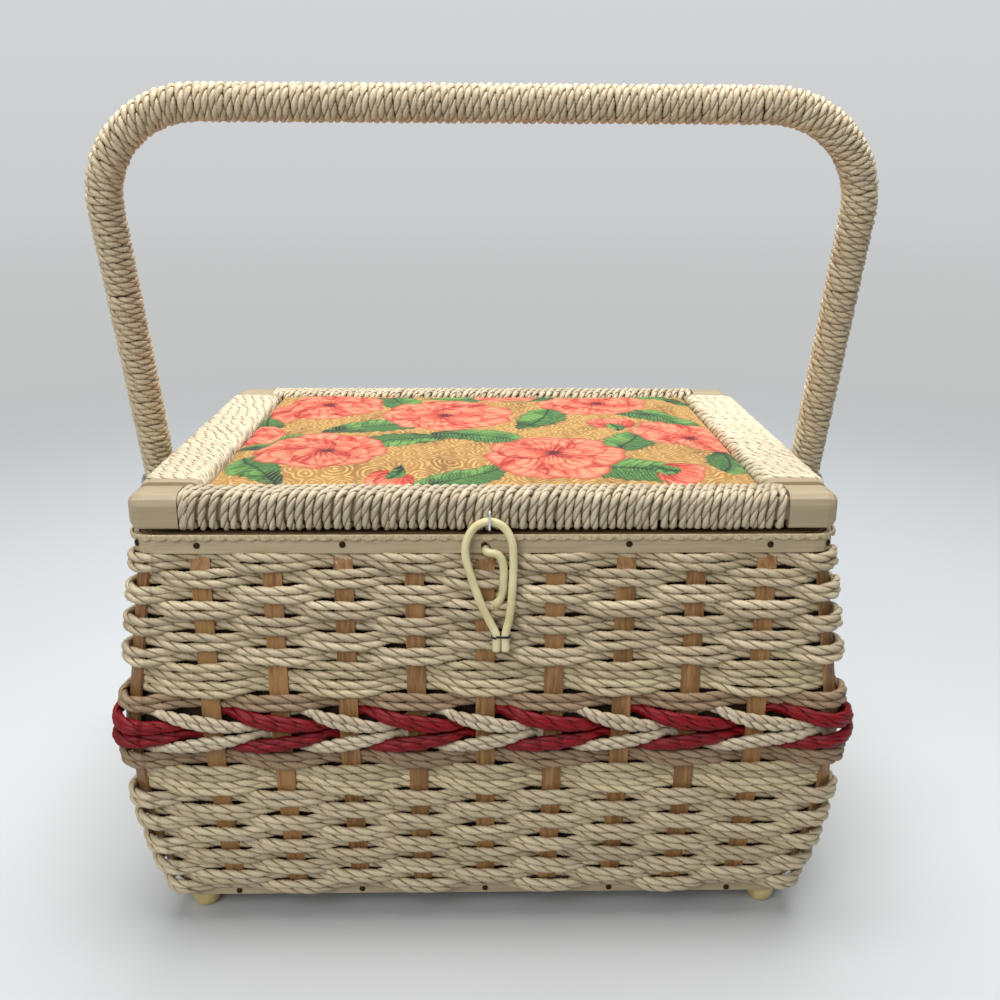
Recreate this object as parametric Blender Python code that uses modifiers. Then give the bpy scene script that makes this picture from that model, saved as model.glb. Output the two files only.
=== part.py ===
"""Wicker sewing basket: a padded hinged lid, a swinging bail handle and a cord loop latch.

Metres, +Z up, the front towards -Y. The origin is on the floor, under the basket's middle.
Plan outlines are round-cornered rectangles. Each is given by its half depth along Y, and its
half width along X is always LONG_EXCESS more.
"""
import math

import bmesh
import bpy
from mathutils import Matrix, Vector

MM = 0.001

# Fits and mesh fineness
GAP = 0.3 * MM
OVERRUN = 1 * MM
WELD = 0.001 * MM
RUNNING_GAP = 0.1 * MM
CORNER_STEPS = 3
ROUND_SIDES = 16
TUBE_RESOLUTION = 2
SMOOTH_ANGLE = 40

# Lid frame, which sets the basket's size
LID_WIDTH = 292 * MM
LID_DEPTH = 222.6 * MM
LONG_RAIL_WIDTH = 17.5 * MM
SIDE_RAIL_WIDTH = 27.5 * MM
RAIL_HEIGHT = 15 * MM
RAIL_EDGE_ROUND = 5 * MM
RAIL_BOTTOM_ROUND = 1.2 * MM
RAIL_LEAST_ROUND = 0.6 * MM
RAIL_END_STEPS = 3
BARE_CORNER_LENGTH = 20.8 * MM
SIDE_BARE_END = 5.8 * MM
LID_HALF_WIDTH = LID_WIDTH / 2
LID_HALF_DEPTH = LID_DEPTH / 2
LONG_EXCESS = LID_HALF_WIDTH - LID_HALF_DEPTH

# Cord wound round the rails
WRAP_CORD = 3.3 * MM
WRAP_PROUD = 1 * MM
WRAP_EDGE_ROUND = 3.5 * MM
WRAP_RIDGE_DEPTH = 0.8 * MM
WRAP_CORNER_STEPS = 1
RAIL_CORE_ROUND = 1 * MM
LONG_WRAP_RIDGE_COUNT = 27
SHORT_WRAP_RIDGE_COUNT = 18

# Feet and bottom
FOOT_HEIGHT = 10.2 * MM
FOOT_RADIUS = 6.6 * MM
FOOT_FLAT_RADIUS = 4 * MM
FOOT_COLLAR_HEIGHT = 3.5 * MM
FOOT_INSET = 10 * MM
FOOT_DOME_STEPS = 3
BASE_BOARD_THICKNESS = 6 * MM

# Nailed bands and the weave between them, from the bottom up
BAND_THICKNESS = 2 * MM
BAND_CORNER_RADIUS = 10 * MM
BAND_TAPER = 5 * MM
LOW_BAND_HEIGHT = 3.9 * MM
LOWER_WEAVE_HEIGHT = 71.1 * MM
ACCENT_ROW_HEIGHT = 6.5 * MM
CHEVRON_HEIGHT = 9.45 * MM
UPPER_WEAVE_HEIGHT = 60.1 * MM
TOP_BAND_HEIGHT = 7.6 * MM
TOP_BAND_PAST_LID = 0.2 * MM
LOWER_WEAVE_ROW_COUNT = 11
UPPER_WEAVE_ROW_COUNT = 9
CHEVRON_ROW_COUNT = 2

# Wall profile of the weave's outer face
WALL_PAST_TOP_BAND = 2.9 * MM
WALL_PAST_LOW_BAND = 5.8 * MM
BELLY_SWELL = 9.2 * MM
WALL_FOOT_CURVE_POWER = 2.1
WEAVE_THICKNESS = 3.3 * MM
WEAVE_CORNER_RADIUS = 14 * MM
WEAVE_ROW_DEPTH = 0.8 * MM
CHEVRON_PROUD = 1.7 * MM

# Stakes that the cords pass round
STAKE_WIDTH = 8 * MM
STAKE_THICKNESS = 1.4 * MM
STAKE_CORNER_MARGIN = 28.2 * MM
FRONT_STAKE_COUNT = 9
SIDE_STAKE_COUNT = 7
STAKE_BEND_HEIGHT = 7 * MM
STAKE_SPAN_COUNT = 3
CORNER_STAKE_SLACK = 0.5 * MM

# Inside the walls
INNER_RIM_THICKNESS = 3 * MM
LINING_THICKNESS = 1.2 * MM
LINING_DEPTH_IN_WALL = 8.7 * MM
LINING_BEND_HEIGHT = 2 * MM
LINING_SPAN_COUNT = 3

# Trim along the top band
BRAID_THICKNESS = 1.1 * MM
BRAID_HEIGHT = 2.3 * MM
BRAID_RISE = 0.7 * MM

# Lid panel
LID_CLEARANCE = 2.7 * MM
LID_LINING_THICKNESS = 1.1 * MM
LID_BOARD_THICKNESS = 3 * MM
LID_COVER_THICKNESS = 0.8 * MM
LID_PANEL_RADIUS = 4 * MM
PAD_SHOULDER_HEIGHT = 12.6 * MM
PAD_CROWN = 4 * MM
PAD_CROWN_STEPS = 4
PAD_CROWN_REACH_SHARE = 0.85

# Lid hinges on the bare back corners
HINGE_WIDTH = 16 * MM
HINGE_PIN_RADIUS = 0.8 * MM
HINGE_KNUCKLE_RADIUS = 1.7 * MM
HINGE_LEAF_THICKNESS = 0.8 * MM
HINGE_BODY_LEAF_LENGTH = 7.5 * MM
HINGE_LID_LEAF_LENGTH = 10 * MM
HINGE_KNUCKLE_STEPS = 8
HINGE_KNUCKLE_COUNT = 3

# Latch: a cord loop under a wire staple on the lid, tied with thread near its tails
LATCH_CORD_RADIUS = 1.7 * MM
LATCH_APEX_X = 1.8 * MM
LATCH_APEX_HEIGHT = 5.3 * MM
LATCH_WALL_CLEARANCE = 0.72 * MM
LATCH_STEPS_PER_SPAN = 2
STAPLE_WIRE_RADIUS = 0.55 * MM
STAPLE_RISE = 4.6 * MM
STAPLE_DROP = 3.1 * MM
STAPLE_UPPER_LEG = 10 * MM
STAPLE_LOWER_LEG = 6 * MM
TIE_THREAD_RADIUS = 0.35 * MM
TIE_DROP = 47.8 * MM
TIE_CORNER_STEPS = 2

# The latch loop's route as (x, drop), both from its apex, from one tail's end to the other's
LATCH_LOOP_ROUTE = (
    (2.8 * MM, 54.3 * MM), (2.8 * MM, 48 * MM), (1.4 * MM, 44.2 * MM), (-3.2 * MM, 35 * MM),
    (-7.6 * MM, 22.6 * MM), (-9.8 * MM, 14.2 * MM), (-9.2 * MM, 7.6 * MM), (-5.6 * MM, 2 * MM),
    (0, 0), (5.6 * MM, 2.2 * MM), (9 * MM, 8 * MM), (9.8 * MM, 16 * MM), (9.4 * MM, 28 * MM),
    (8.4 * MM, 39 * MM), (7 * MM, 45 * MM), (6.6 * MM, 48 * MM), (6.6 * MM, 54.3 * MM),
)

# Keeper: a half ring of the same cord on the front, given as (x, drop below the top band)
KEEPER_FORWARD = 2.1 * MM
KEEPER_ROUTE = (
    (2.4 * MM, -1.8 * MM), (5 * MM, -1.2 * MM), (6.8 * MM, 1.2 * MM), (7.6 * MM, 5.2 * MM),
    (7.6 * MM, 10.2 * MM), (7.3 * MM, 14.7 * MM), (6.4 * MM, 18.2 * MM), (5.2 * MM, 19.8 * MM),
)
KEEPER_BEND_RADIUS = 2.1 * MM
KEEPER_BEND_STEPS = 3

# Bail handle
HANDLE_REACH = 181 * MM
HANDLE_TAIL = 8 * MM
HANDLE_BEND_RADIUS = 44 * MM
HANDLE_RADIUS = 7.8 * MM
HANDLE_LEAN = 18
HANDLE_BEND_STEPS = 6
HANDLE_RIDGE_COUNT = 54
HANDLE_SIDES = 8
PIVOT_Y = -20 * MM
PIVOT_BELOW_RIM = 3.5 * MM
BOLT_RADIUS = 1.6 * MM
BOLT_HEAD_RADIUS = 4.5 * MM
BOLT_HEAD_HEIGHT = 2.4 * MM
BOLT_HEAD_STEPS = 3
SPACER_RADIUS = 3.1 * MM
SPACER_LENGTH = 3 * MM
NUT_RADIUS = 3.6 * MM
NUT_SIDES = 6
NUT_THICKNESS = 2.4 * MM
BOLT_END_PROUD = 0.4 * MM

# Heights worked out from the stack
BASE_BOTTOM = FOOT_HEIGHT + GAP
BASE_TOP = BASE_BOTTOM + BASE_BOARD_THICKNESS
LOW_BAND_TOP = BASE_BOTTOM + LOW_BAND_HEIGHT
LOWER_WEAVE_BOTTOM = LOW_BAND_TOP + GAP
LOWER_ACCENT_BOTTOM = LOWER_WEAVE_BOTTOM + LOWER_WEAVE_HEIGHT + GAP
LOWER_CHEVRON_BOTTOM = LOWER_ACCENT_BOTTOM + ACCENT_ROW_HEIGHT + GAP
UPPER_CHEVRON_BOTTOM = LOWER_CHEVRON_BOTTOM + CHEVRON_HEIGHT + GAP
UPPER_ACCENT_BOTTOM = UPPER_CHEVRON_BOTTOM + CHEVRON_HEIGHT + GAP
UPPER_WEAVE_BOTTOM = UPPER_ACCENT_BOTTOM + ACCENT_ROW_HEIGHT + GAP
WEAVE_TOP = UPPER_WEAVE_BOTTOM + UPPER_WEAVE_HEIGHT
TOP_BAND_BOTTOM = WEAVE_TOP + GAP
RIM_TOP = TOP_BAND_BOTTOM + TOP_BAND_HEIGHT
BELLY_HEIGHT = UPPER_CHEVRON_BOTTOM
RAIL_BOTTOM = RIM_TOP + LID_CLEARANCE
RAIL_TOP = RAIL_BOTTOM + RAIL_HEIGHT

# Places worked out from the pieces that they follow
TOP_BAND_HALF_DEPTH = LID_HALF_DEPTH + TOP_BAND_PAST_LID
LOW_BAND_HALF_DEPTH = TOP_BAND_HALF_DEPTH - BAND_TAPER
WALL_RIM_HALF_DEPTH = TOP_BAND_HALF_DEPTH + WALL_PAST_TOP_BAND
WALL_BELLY_HALF_DEPTH = WALL_RIM_HALF_DEPTH + BELLY_SWELL
WALL_FOOT_HALF_DEPTH = LOW_BAND_HALF_DEPTH + WALL_PAST_LOW_BAND
FOOT_HALF_DEPTH = LOW_BAND_HALF_DEPTH - FOOT_INSET
TOP_BAND_INNER = TOP_BAND_HALF_DEPTH - BAND_THICKNESS
LOW_BAND_INNER = LOW_BAND_HALF_DEPTH - BAND_THICKNESS
BAND_INNER_RADIUS = BAND_CORNER_RADIUS - BAND_THICKNESS
WRAP_OUTER = LID_HALF_DEPTH + WRAP_PROUD
WRAP_INNER = LID_HALF_DEPTH - LONG_RAIL_WIDTH
WRAP_BOTTOM = RAIL_BOTTOM - WRAP_PROUD
WRAP_TOP = RAIL_TOP + WRAP_PROUD
SIDE_RAIL_END = WRAP_INNER - GAP
SIDE_RAIL_SHOULDER = SIDE_RAIL_END - SIDE_BARE_END
LID_PANEL_HALF_DEPTH = WRAP_INNER - GAP
LID_PANEL_HALF_WIDTH = LID_HALF_WIDTH - SIDE_RAIL_WIDTH - GAP
LID_BOARD_BOTTOM = WRAP_BOTTOM + LID_LINING_THICKNESS + GAP
HINGE_Y = TOP_BAND_HALF_DEPTH + GAP + HINGE_KNUCKLE_RADIUS
HINGE_Z = (RIM_TOP + RAIL_BOTTOM) / 2
HINGE_X = LID_HALF_WIDTH - BARE_CORNER_LENGTH / 2
LATCH_Y = -(WRAP_OUTER + GAP + LATCH_CORD_RADIUS)
LATCH_Z = WRAP_BOTTOM + LATCH_APEX_HEIGHT
PIVOT_Z = RIM_TOP - PIVOT_BELOW_RIM
BOLT_HOLE_RADIUS = BOLT_RADIUS + RUNNING_GAP
RIM_HALF_WIDTH = TOP_BAND_HALF_DEPTH + LONG_EXCESS
HANDLE_SPREAD = RIM_HALF_WIDTH + GAP + SPACER_LENGTH + GAP + HANDLE_RADIUS
HANDLE_CORE_RADIUS = HANDLE_RADIUS - WRAP_CORD - GAP
HANDLE_LEG = HANDLE_REACH - HANDLE_BEND_RADIUS + HANDLE_TAIL
HANDLE_ARC = HANDLE_BEND_RADIUS * math.pi / 2
HANDLE_HALF_BAR = HANDLE_SPREAD - HANDLE_BEND_RADIUS
HANDLE_LENGTH = 2 * (HANDLE_LEG + HANDLE_ARC + HANDLE_HALF_BAR)

FINISHES = {
    "cream_cord": ((0.75, 0.66, 0.47), 0.55, 0.0),
    "tan_cord": ((0.62, 0.45, 0.33), 0.6, 0.0),
    "crimson_cord": ((0.42, 0.02, 0.035), 0.35, 0.0),
    "light_cord": ((0.83, 0.75, 0.57), 0.5, 0.0),
    "stake_wood": ((0.5, 0.29, 0.12), 0.6, 0.0),
    "frame_wood": ((0.55, 0.47, 0.32), 0.45, 0.0),
    "band_wood": ((0.66, 0.58, 0.43), 0.45, 0.0),
    "board": ((0.4, 0.3, 0.2), 0.8, 0.0),
    "print_fabric": ((0.75, 0.2, 0.1), 0.7, 0.0),
    "foam": ((0.85, 0.82, 0.7), 0.9, 0.0),
    "lining_fabric": ((0.55, 0.38, 0.1), 0.6, 0.0),
    "braid": ((0.72, 0.66, 0.48), 0.7, 0.0),
    "foot_plastic": ((0.75, 0.6, 0.28), 0.35, 0.0),
    "latch_plastic": ((0.8, 0.74, 0.45), 0.35, 0.0),
    "tie_thread": ((0.06, 0.06, 0.05), 0.6, 0.0),
    "bright_steel": ((0.75, 0.75, 0.76), 0.3, 1.0),
    "brass_plate": ((0.6, 0.45, 0.2), 0.35, 1.0),
}


def clear_scene():
    for obj in list(bpy.data.objects):
        bpy.data.objects.remove(obj)


def new_collection(name):
    made = bpy.data.collections.new(name)
    bpy.context.scene.collection.children.link(made)
    return made


clear_scene()
PARTS = new_collection("sewing_basket")
CUTTERS = new_collection("cutters")


def finish_material(finish):
    """The material of this finish, made when it is first asked for."""
    found = bpy.data.materials.get(finish)
    if found:
        return found
    color, roughness, metallic = FINISHES[finish]
    made = bpy.data.materials.new(finish)
    made.use_nodes = True
    shader = made.node_tree.nodes["Principled BSDF"]
    shader.inputs["Base Color"].default_value = (*color, 1)
    shader.inputs["Roughness"].default_value = roughness
    shader.inputs["Metallic"].default_value = metallic
    made.diffuse_color = (*color, 1)
    return made


def add_part(name, data, finish):
    obj = bpy.data.objects.new(name, data)
    PARTS.objects.link(obj)
    data.materials.append(finish_material(finish))
    return obj


def add_cutter(name, data):
    obj = bpy.data.objects.new(name, data)
    CUTTERS.objects.link(obj)
    obj.hide_render = True
    obj.display_type = "WIRE"
    return obj


def smooth(data):
    data.shade_smooth()
    data.set_sharp_from_angle(angle=math.radians(SMOOTH_ANGLE))


def mesh_from(name, shape):
    """A mesh made from this bmesh, with its faces turned outwards."""
    bmesh.ops.recalc_face_normals(shape, faces=shape.faces)
    data = bpy.data.meshes.new(name)
    shape.to_mesh(data)
    shape.free()
    smooth(data)
    return data


def meshed(curve_object):
    """The same piece as a welded mesh, which a Boolean can cut or cut with."""
    bpy.context.view_layer.update()
    graph = bpy.context.evaluated_depsgraph_get()
    data = bpy.data.meshes.new_from_object(curve_object.evaluated_get(graph))
    shape = bmesh.new()
    shape.from_mesh(data)
    bmesh.ops.remove_doubles(shape, verts=shape.verts, dist=WELD)
    bmesh.ops.recalc_face_normals(shape, faces=shape.faces)
    shape.to_mesh(data)
    shape.free()
    smooth(data)
    name = curve_object.name
    obj = bpy.data.objects.new(name, data)
    curve_object.users_collection[0].objects.link(obj)
    obj.matrix_world = curve_object.matrix_world.copy()
    obj.hide_render = curve_object.hide_render
    obj.display_type = curve_object.display_type
    bpy.data.objects.remove(curve_object)
    obj.name = name
    return obj


def cut(target, cutter, operation="DIFFERENCE"):
    modifier = target.modifiers.new(cutter.name, "BOOLEAN")
    modifier.operation = operation
    modifier.object = cutter


def box_cutter(name, low, high):
    shape = bmesh.new()
    bmesh.ops.create_cube(shape, size=1)
    size = Vector(high) - Vector(low)
    middle = (Vector(high) + Vector(low)) / 2
    bmesh.ops.scale(shape, vec=size, verts=shape.verts)
    bmesh.ops.translate(shape, vec=middle, verts=shape.verts)
    return add_cutter(name, mesh_from(name, shape))


def drill(name, start, end, radius):
    """A cylinder cutter between two points."""
    start = Vector(start)
    end = Vector(end)
    shape = bmesh.new()
    turn = Vector((0, 0, 1)).rotation_difference(end - start).to_matrix().to_4x4()
    bmesh.ops.create_cone(
        shape,
        cap_ends=True,
        segments=ROUND_SIDES,
        radius1=radius,
        radius2=radius,
        depth=(end - start).length,
        matrix=Matrix.Translation((start + end) / 2) @ turn,
    )
    return add_cutter(name, mesh_from(name, shape))


def rectangle(half_x, half_y, radius, steps=CORNER_STEPS, low_radius=None):
    """Points of a round-cornered rectangle, counterclockwise. Its two low corners may have a
    radius of their own."""
    high_radius = radius
    points = []
    corners = ((1, -1), (1, 1), (-1, 1), (-1, -1))
    for quarter, (side_x, side_y) in enumerate(corners):
        radius = high_radius if low_radius is None or side_y > 0 else low_radius
        for step in range(steps + 1):
            angle = math.pi / 2 * (quarter - 1 + step / steps)
            x = side_x * (half_x - radius) + radius * math.cos(angle)
            y = side_y * (half_y - radius) + radius * math.sin(angle)
            points.append((x, y))
    return points


def ring(half_depth, radius, height):
    """One plan outline at a height."""
    outline = rectangle(half_depth + LONG_EXCESS, half_depth, radius)
    return [Vector((x, y, height)) for x, y in outline]


def loft(name, rings, finish, closed):
    """A skin over rings of equally many points. Closed joins the last ring to the first, for a
    hollow piece, and otherwise both ends are capped."""
    shape = bmesh.new()
    rows = [[shape.verts.new(point) for point in points] for points in rings]
    count = len(rows[0])
    pairs = list(zip(rows, rows[1:]))
    if closed:
        pairs.append((rows[-1], rows[0]))
    for low, high in pairs:
        for i in range(count):
            j = (i + 1) % count
            shape.faces.new((low[i], low[j], high[j], high[i]))
    if not closed:
        shape.faces.new(list(reversed(rows[0])))
        shape.faces.new(rows[-1])
    return add_part(name, mesh_from(name, shape), finish)


def flat_curve(name, outlines, low, high):
    """A filled 2D curve, extruded between two heights. Outlines after the first are its holes."""
    curve = bpy.data.curves.new(name, "CURVE")
    curve.dimensions = "2D"
    curve.fill_mode = "BOTH"
    curve.extrude = (high - low) / 2
    for outline in outlines:
        spline = curve.splines.new("POLY")
        spline.points.add(len(outline) - 1)
        for point, (x, y) in zip(spline.points, outline):
            point.co = (x, y, 0, 1)
        spline.use_cyclic_u = True
    return curve


def plate(name, outlines, low, high, finish):
    obj = add_part(name, flat_curve(name, outlines, low, high), finish)
    obj.location.z = (low + high) / 2
    return obj


def band(name, half_depth, radius, thickness, low, high, finish):
    """A flat hoop of this thickness, outer outline first."""
    outer = rectangle(half_depth + LONG_EXCESS, half_depth, radius)
    inner_half = half_depth - thickness
    inner = rectangle(inner_half + LONG_EXCESS, inner_half, radius - thickness)
    return plate(name, [outer, inner], low, high, finish)


def tube_curve(name, points, radius, cyclic=False):
    curve = bpy.data.curves.new(name, "CURVE")
    curve.dimensions = "3D"
    curve.bevel_depth = radius
    curve.bevel_resolution = TUBE_RESOLUTION
    curve.use_fill_caps = not cyclic
    spline = curve.splines.new("POLY")
    spline.points.add(len(points) - 1)
    for point, place in zip(spline.points, points):
        point.co = (*place, 1)
    spline.use_cyclic_u = cyclic
    return curve


def turned(name, profile, finish, matrix, sides=ROUND_SIDES):
    """A profile of (radius, height) points spun round Z, then placed by the matrix."""
    shape = bmesh.new()
    verts = [shape.verts.new((radius, 0, height)) for radius, height in profile]
    for low, high in zip(verts, verts[1:]):
        shape.edges.new((low, high))
    data = bpy.data.meshes.new(name)
    shape.to_mesh(data)
    shape.free()
    obj = add_part(name, data, finish)
    screw = obj.modifiers.new("turn", "SCREW")
    screw.steps = sides
    screw.render_steps = sides
    screw.use_merge_vertices = True
    screw.merge_threshold = WELD
    screw.use_smooth_shade = False
    obj.matrix_world = matrix
    return obj


def smooth_route(route):
    """Points of a smooth curve through all the route's points."""
    points = [Vector(point) for point in route]
    ends = [2 * points[0] - points[1]] + points + [2 * points[-1] - points[-2]]
    path = []
    for before, start, end, after in zip(ends, ends[1:], ends[2:], ends[3:]):
        for step in range(LATCH_STEPS_PER_SPAN):
            t = step / LATCH_STEPS_PER_SPAN
            bend = 2 * before - 5 * start + 4 * end - after
            twist = 3 * (start - end) + after - before
            path.append(start + (t * (end - before) + t * t * bend + t ** 3 * twist) / 2)
    path.append(points[-1])
    return path


def wall_half_depth(height):
    """Half depth of the weave's outer face. It leans out straight from the rim to the belly,
    then curves in towards the bottom."""
    if height >= BELLY_HEIGHT:
        share = (WEAVE_TOP - height) / (WEAVE_TOP - BELLY_HEIGHT)
        return WALL_RIM_HALF_DEPTH + share * (WALL_BELLY_HALF_DEPTH - WALL_RIM_HALF_DEPTH)
    share = (BELLY_HEIGHT - height) / (BELLY_HEIGHT - LOWER_WEAVE_BOTTOM)
    drop = WALL_BELLY_HALF_DEPTH - WALL_FOOT_HALF_DEPTH
    return WALL_BELLY_HALF_DEPTH - drop * max(share, 0) ** WALL_FOOT_CURVE_POWER


def weave_band(name, low, height, rows, proud, finish):
    """A stretch of woven wall, ridged outside with one ridge a row and plain inside."""
    rings = []
    for i in range(2 * rows + 1):
        z = low + height * i / (2 * rows)
        crest = proud if i % 2 else proud - WEAVE_ROW_DEPTH
        rings.append(ring(wall_half_depth(z) + crest, WEAVE_CORNER_RADIUS, z))
    spans = max(1, rows // 2)
    for i in range(spans + 1):
        z = low + height * (spans - i) / spans
        inner = wall_half_depth(z) - WEAVE_THICKNESS
        rings.append(ring(inner, WEAVE_CORNER_RADIUS - WEAVE_THICKNESS, z))
    return loft(name, rings, finish, closed=True)


def make_walls():
    """The six woven stretches, from the bottom up."""
    weave_band("weave_lower", LOWER_WEAVE_BOTTOM, LOWER_WEAVE_HEIGHT, LOWER_WEAVE_ROW_COUNT, 0, "cream_cord")
    weave_band("accent_row_lower", LOWER_ACCENT_BOTTOM, ACCENT_ROW_HEIGHT, 1, 0, "tan_cord")
    weave_band("chevron_lower", LOWER_CHEVRON_BOTTOM, CHEVRON_HEIGHT, CHEVRON_ROW_COUNT,
               CHEVRON_PROUD, "crimson_cord")
    weave_band("chevron_upper", UPPER_CHEVRON_BOTTOM, CHEVRON_HEIGHT, CHEVRON_ROW_COUNT,
               CHEVRON_PROUD, "light_cord")
    weave_band("accent_row_upper", UPPER_ACCENT_BOTTOM, ACCENT_ROW_HEIGHT, 1, 0, "tan_cord")
    return weave_band("weave_upper", UPPER_WEAVE_BOTTOM, UPPER_WEAVE_HEIGHT, UPPER_WEAVE_ROW_COUNT,
                      0, "cream_cord")


def make_bottom():
    """Base board, its four feet and the nailed band round it."""
    board_half = LOW_BAND_INNER - 2 * GAP - STAKE_THICKNESS
    corner_reach = corner_stake_face(LOW_BAND_TOP) - (STAKE_THICKNESS + GAP) / math.sqrt(2)
    radius = radius_to_clear(board_half, corner_reach - GAP)
    outline = rectangle(board_half + LONG_EXCESS, board_half, radius)
    plate("base_board", [outline], BASE_BOTTOM, BASE_TOP, "board")
    band("bottom_band", LOW_BAND_HALF_DEPTH, BAND_CORNER_RADIUS, BAND_THICKNESS,
         BASE_BOTTOM, LOW_BAND_TOP, "band_wood")
    profile = [(0, FOOT_HEIGHT), (FOOT_RADIUS, FOOT_HEIGHT)]
    dome_height = FOOT_HEIGHT - FOOT_COLLAR_HEIGHT
    for step in range(FOOT_DOME_STEPS + 1):
        angle = math.pi / 2 * step / FOOT_DOME_STEPS
        radius = FOOT_FLAT_RADIUS + (FOOT_RADIUS - FOOT_FLAT_RADIUS) * math.cos(angle)
        profile.append((radius, dome_height * (1 - math.sin(angle))))
    profile.append((0, 0))
    for end, side_y in (("front", -1), ("back", 1)):
        for side, side_x in (("left", -1), ("right", 1)):
            place = Matrix.Translation((
                side_x * (FOOT_HALF_DEPTH + LONG_EXCESS), side_y * FOOT_HALF_DEPTH, 0))
            turned(f"foot_{end}_{side}", profile, "foot_plastic", place)


def radius_to_clear(half_depth, reach):
    """Corner radius of an outline that, at the middle of its corner, gets no further than reach
    along each axis."""
    return (half_depth - reach) / (1 - math.sqrt(0.5))


def stake_face(height):
    """Half depth of a stake's outer face: inside the bands at its ends, and behind the weave
    between them."""
    if height >= TOP_BAND_BOTTOM - GAP:
        return TOP_BAND_INNER - GAP
    if height <= LOW_BAND_TOP + GAP:
        return LOW_BAND_INNER - GAP
    return wall_half_depth(height) - WEAVE_THICKNESS - GAP


def corner_stake_face(height):
    """Where a corner stake's flat outer face crosses the corner's diagonal, along each axis."""
    if height >= TOP_BAND_BOTTOM - GAP:
        centre = TOP_BAND_HALF_DEPTH - BAND_CORNER_RADIUS
        bore = BAND_INNER_RADIUS
    elif height <= LOW_BAND_TOP + GAP:
        centre = LOW_BAND_HALF_DEPTH - BAND_CORNER_RADIUS
        bore = BAND_INNER_RADIUS
    else:
        centre = wall_half_depth(height) - WEAVE_CORNER_RADIUS
        bore = WEAVE_CORNER_RADIUS - WEAVE_THICKNESS
    bore = bore - GAP - CORNER_STAKE_SLACK
    reach = math.sqrt(bore ** 2 - (STAKE_WIDTH / 2) ** 2)
    return centre + reach / math.sqrt(2)


def stake_heights():
    """Heights at which a stake's face is placed, from its foot to its top."""
    low = LOW_BAND_TOP + STAKE_BEND_HEIGHT
    high = TOP_BAND_BOTTOM - STAKE_BEND_HEIGHT
    between = [low + (BELLY_HEIGHT - low) * i / STAKE_SPAN_COUNT for i in range(STAKE_SPAN_COUNT)]
    return [BASE_BOTTOM + GAP, LOW_BAND_TOP, *between, BELLY_HEIGHT, high, TOP_BAND_BOTTOM,
            RIM_TOP - GAP]


def stake_spacing(height, excess, count):
    """Distance between the middles of two stakes. They splay with the taper of the bands."""
    share = (height - BASE_BOTTOM) / (RIM_TOP - BASE_BOTTOM)
    band_reach = LOW_BAND_HALF_DEPTH + excess + share * BAND_TAPER
    return 2 * (band_reach - STAKE_CORNER_MARGIN) / (count - 1)


def stake_comb(name, count, excess, place):
    """Stakes of one side, joined behind the top band, as a thin sheet given its thickness."""
    heights = stake_heights()
    shape = bmesh.new()
    rows = []
    for z in heights:
        edges = []
        for i in range(count):
            middle = (i - (count - 1) / 2) * stake_spacing(z, excess, count)
            edges += [middle - STAKE_WIDTH / 2, middle + STAKE_WIDTH / 2]
        rows.append([shape.verts.new(place(along, stake_face(z), z)) for along in edges])
    for number, (low, high) in enumerate(zip(rows, rows[1:])):
        joined = number == len(rows) - 2
        for i in range(2 * count - 1):
            if i % 2 == 0 or joined:
                shape.faces.new((low[i], low[i + 1], high[i + 1], high[i]))
    data = bpy.data.meshes.new(name)
    shape.to_mesh(data)
    shape.free()
    obj = add_part(name, data, "stake_wood")
    thick = obj.modifiers.new("thickness", "SOLIDIFY")
    thick.thickness = STAKE_THICKNESS
    thick.offset = -1
    return obj


def corner_stake(name, side_x, side_y):
    """One flat stake set across a corner of the basket."""
    half = STAKE_WIDTH / 2 / math.sqrt(2)
    depth = STAKE_THICKNESS / math.sqrt(2)
    rings = []
    for z in stake_heights():
        outer = corner_stake_face(z)
        inner = outer - depth
        section = ((outer - half, outer + half), (outer + half, outer - half),
                   (inner + half, inner - half), (inner - half, inner + half))
        rings.append([Vector((side_x * (x + LONG_EXCESS), side_y * y, z)) for x, y in section])
    return loft(name, rings, "stake_wood", closed=False)


def make_stakes():
    front = stake_comb("stakes_front", FRONT_STAKE_COUNT, LONG_EXCESS,
                       lambda s, out, z: (s, -out, z))
    stake_comb("stakes_back", FRONT_STAKE_COUNT, LONG_EXCESS, lambda s, out, z: (-s, out, z))
    left = stake_comb("stakes_left", SIDE_STAKE_COUNT, 0,
                      lambda s, out, z: (-(out + LONG_EXCESS), -s, z))
    right = stake_comb("stakes_right", SIDE_STAKE_COUNT, 0,
                       lambda s, out, z: (out + LONG_EXCESS, s, z))
    for end, side_y in (("front", -1), ("back", 1)):
        for side, side_x in (("left", -1), ("right", 1)):
            corner_stake(f"corner_stake_{end}_{side}", side_x, side_y)
    return front, left, right


def make_rim():
    """Top band outside the stakes and the inner rim inside them."""
    top = meshed(band("top_band", TOP_BAND_HALF_DEPTH, BAND_CORNER_RADIUS, BAND_THICKNESS,
                      TOP_BAND_BOTTOM, RIM_TOP, "band_wood"))
    half = TOP_BAND_INNER - 2 * GAP - STAKE_THICKNESS
    corner_reach = corner_stake_face(RIM_TOP) - (STAKE_THICKNESS + GAP) / math.sqrt(2)
    radius = radius_to_clear(half, corner_reach - GAP)
    inner = meshed(band("inner_rim", half, radius, INNER_RIM_THICKNESS,
                        TOP_BAND_BOTTOM, RIM_TOP, "board"))
    return top, inner, half - INNER_RIM_THICKNESS, radius - INNER_RIM_THICKNESS


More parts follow.
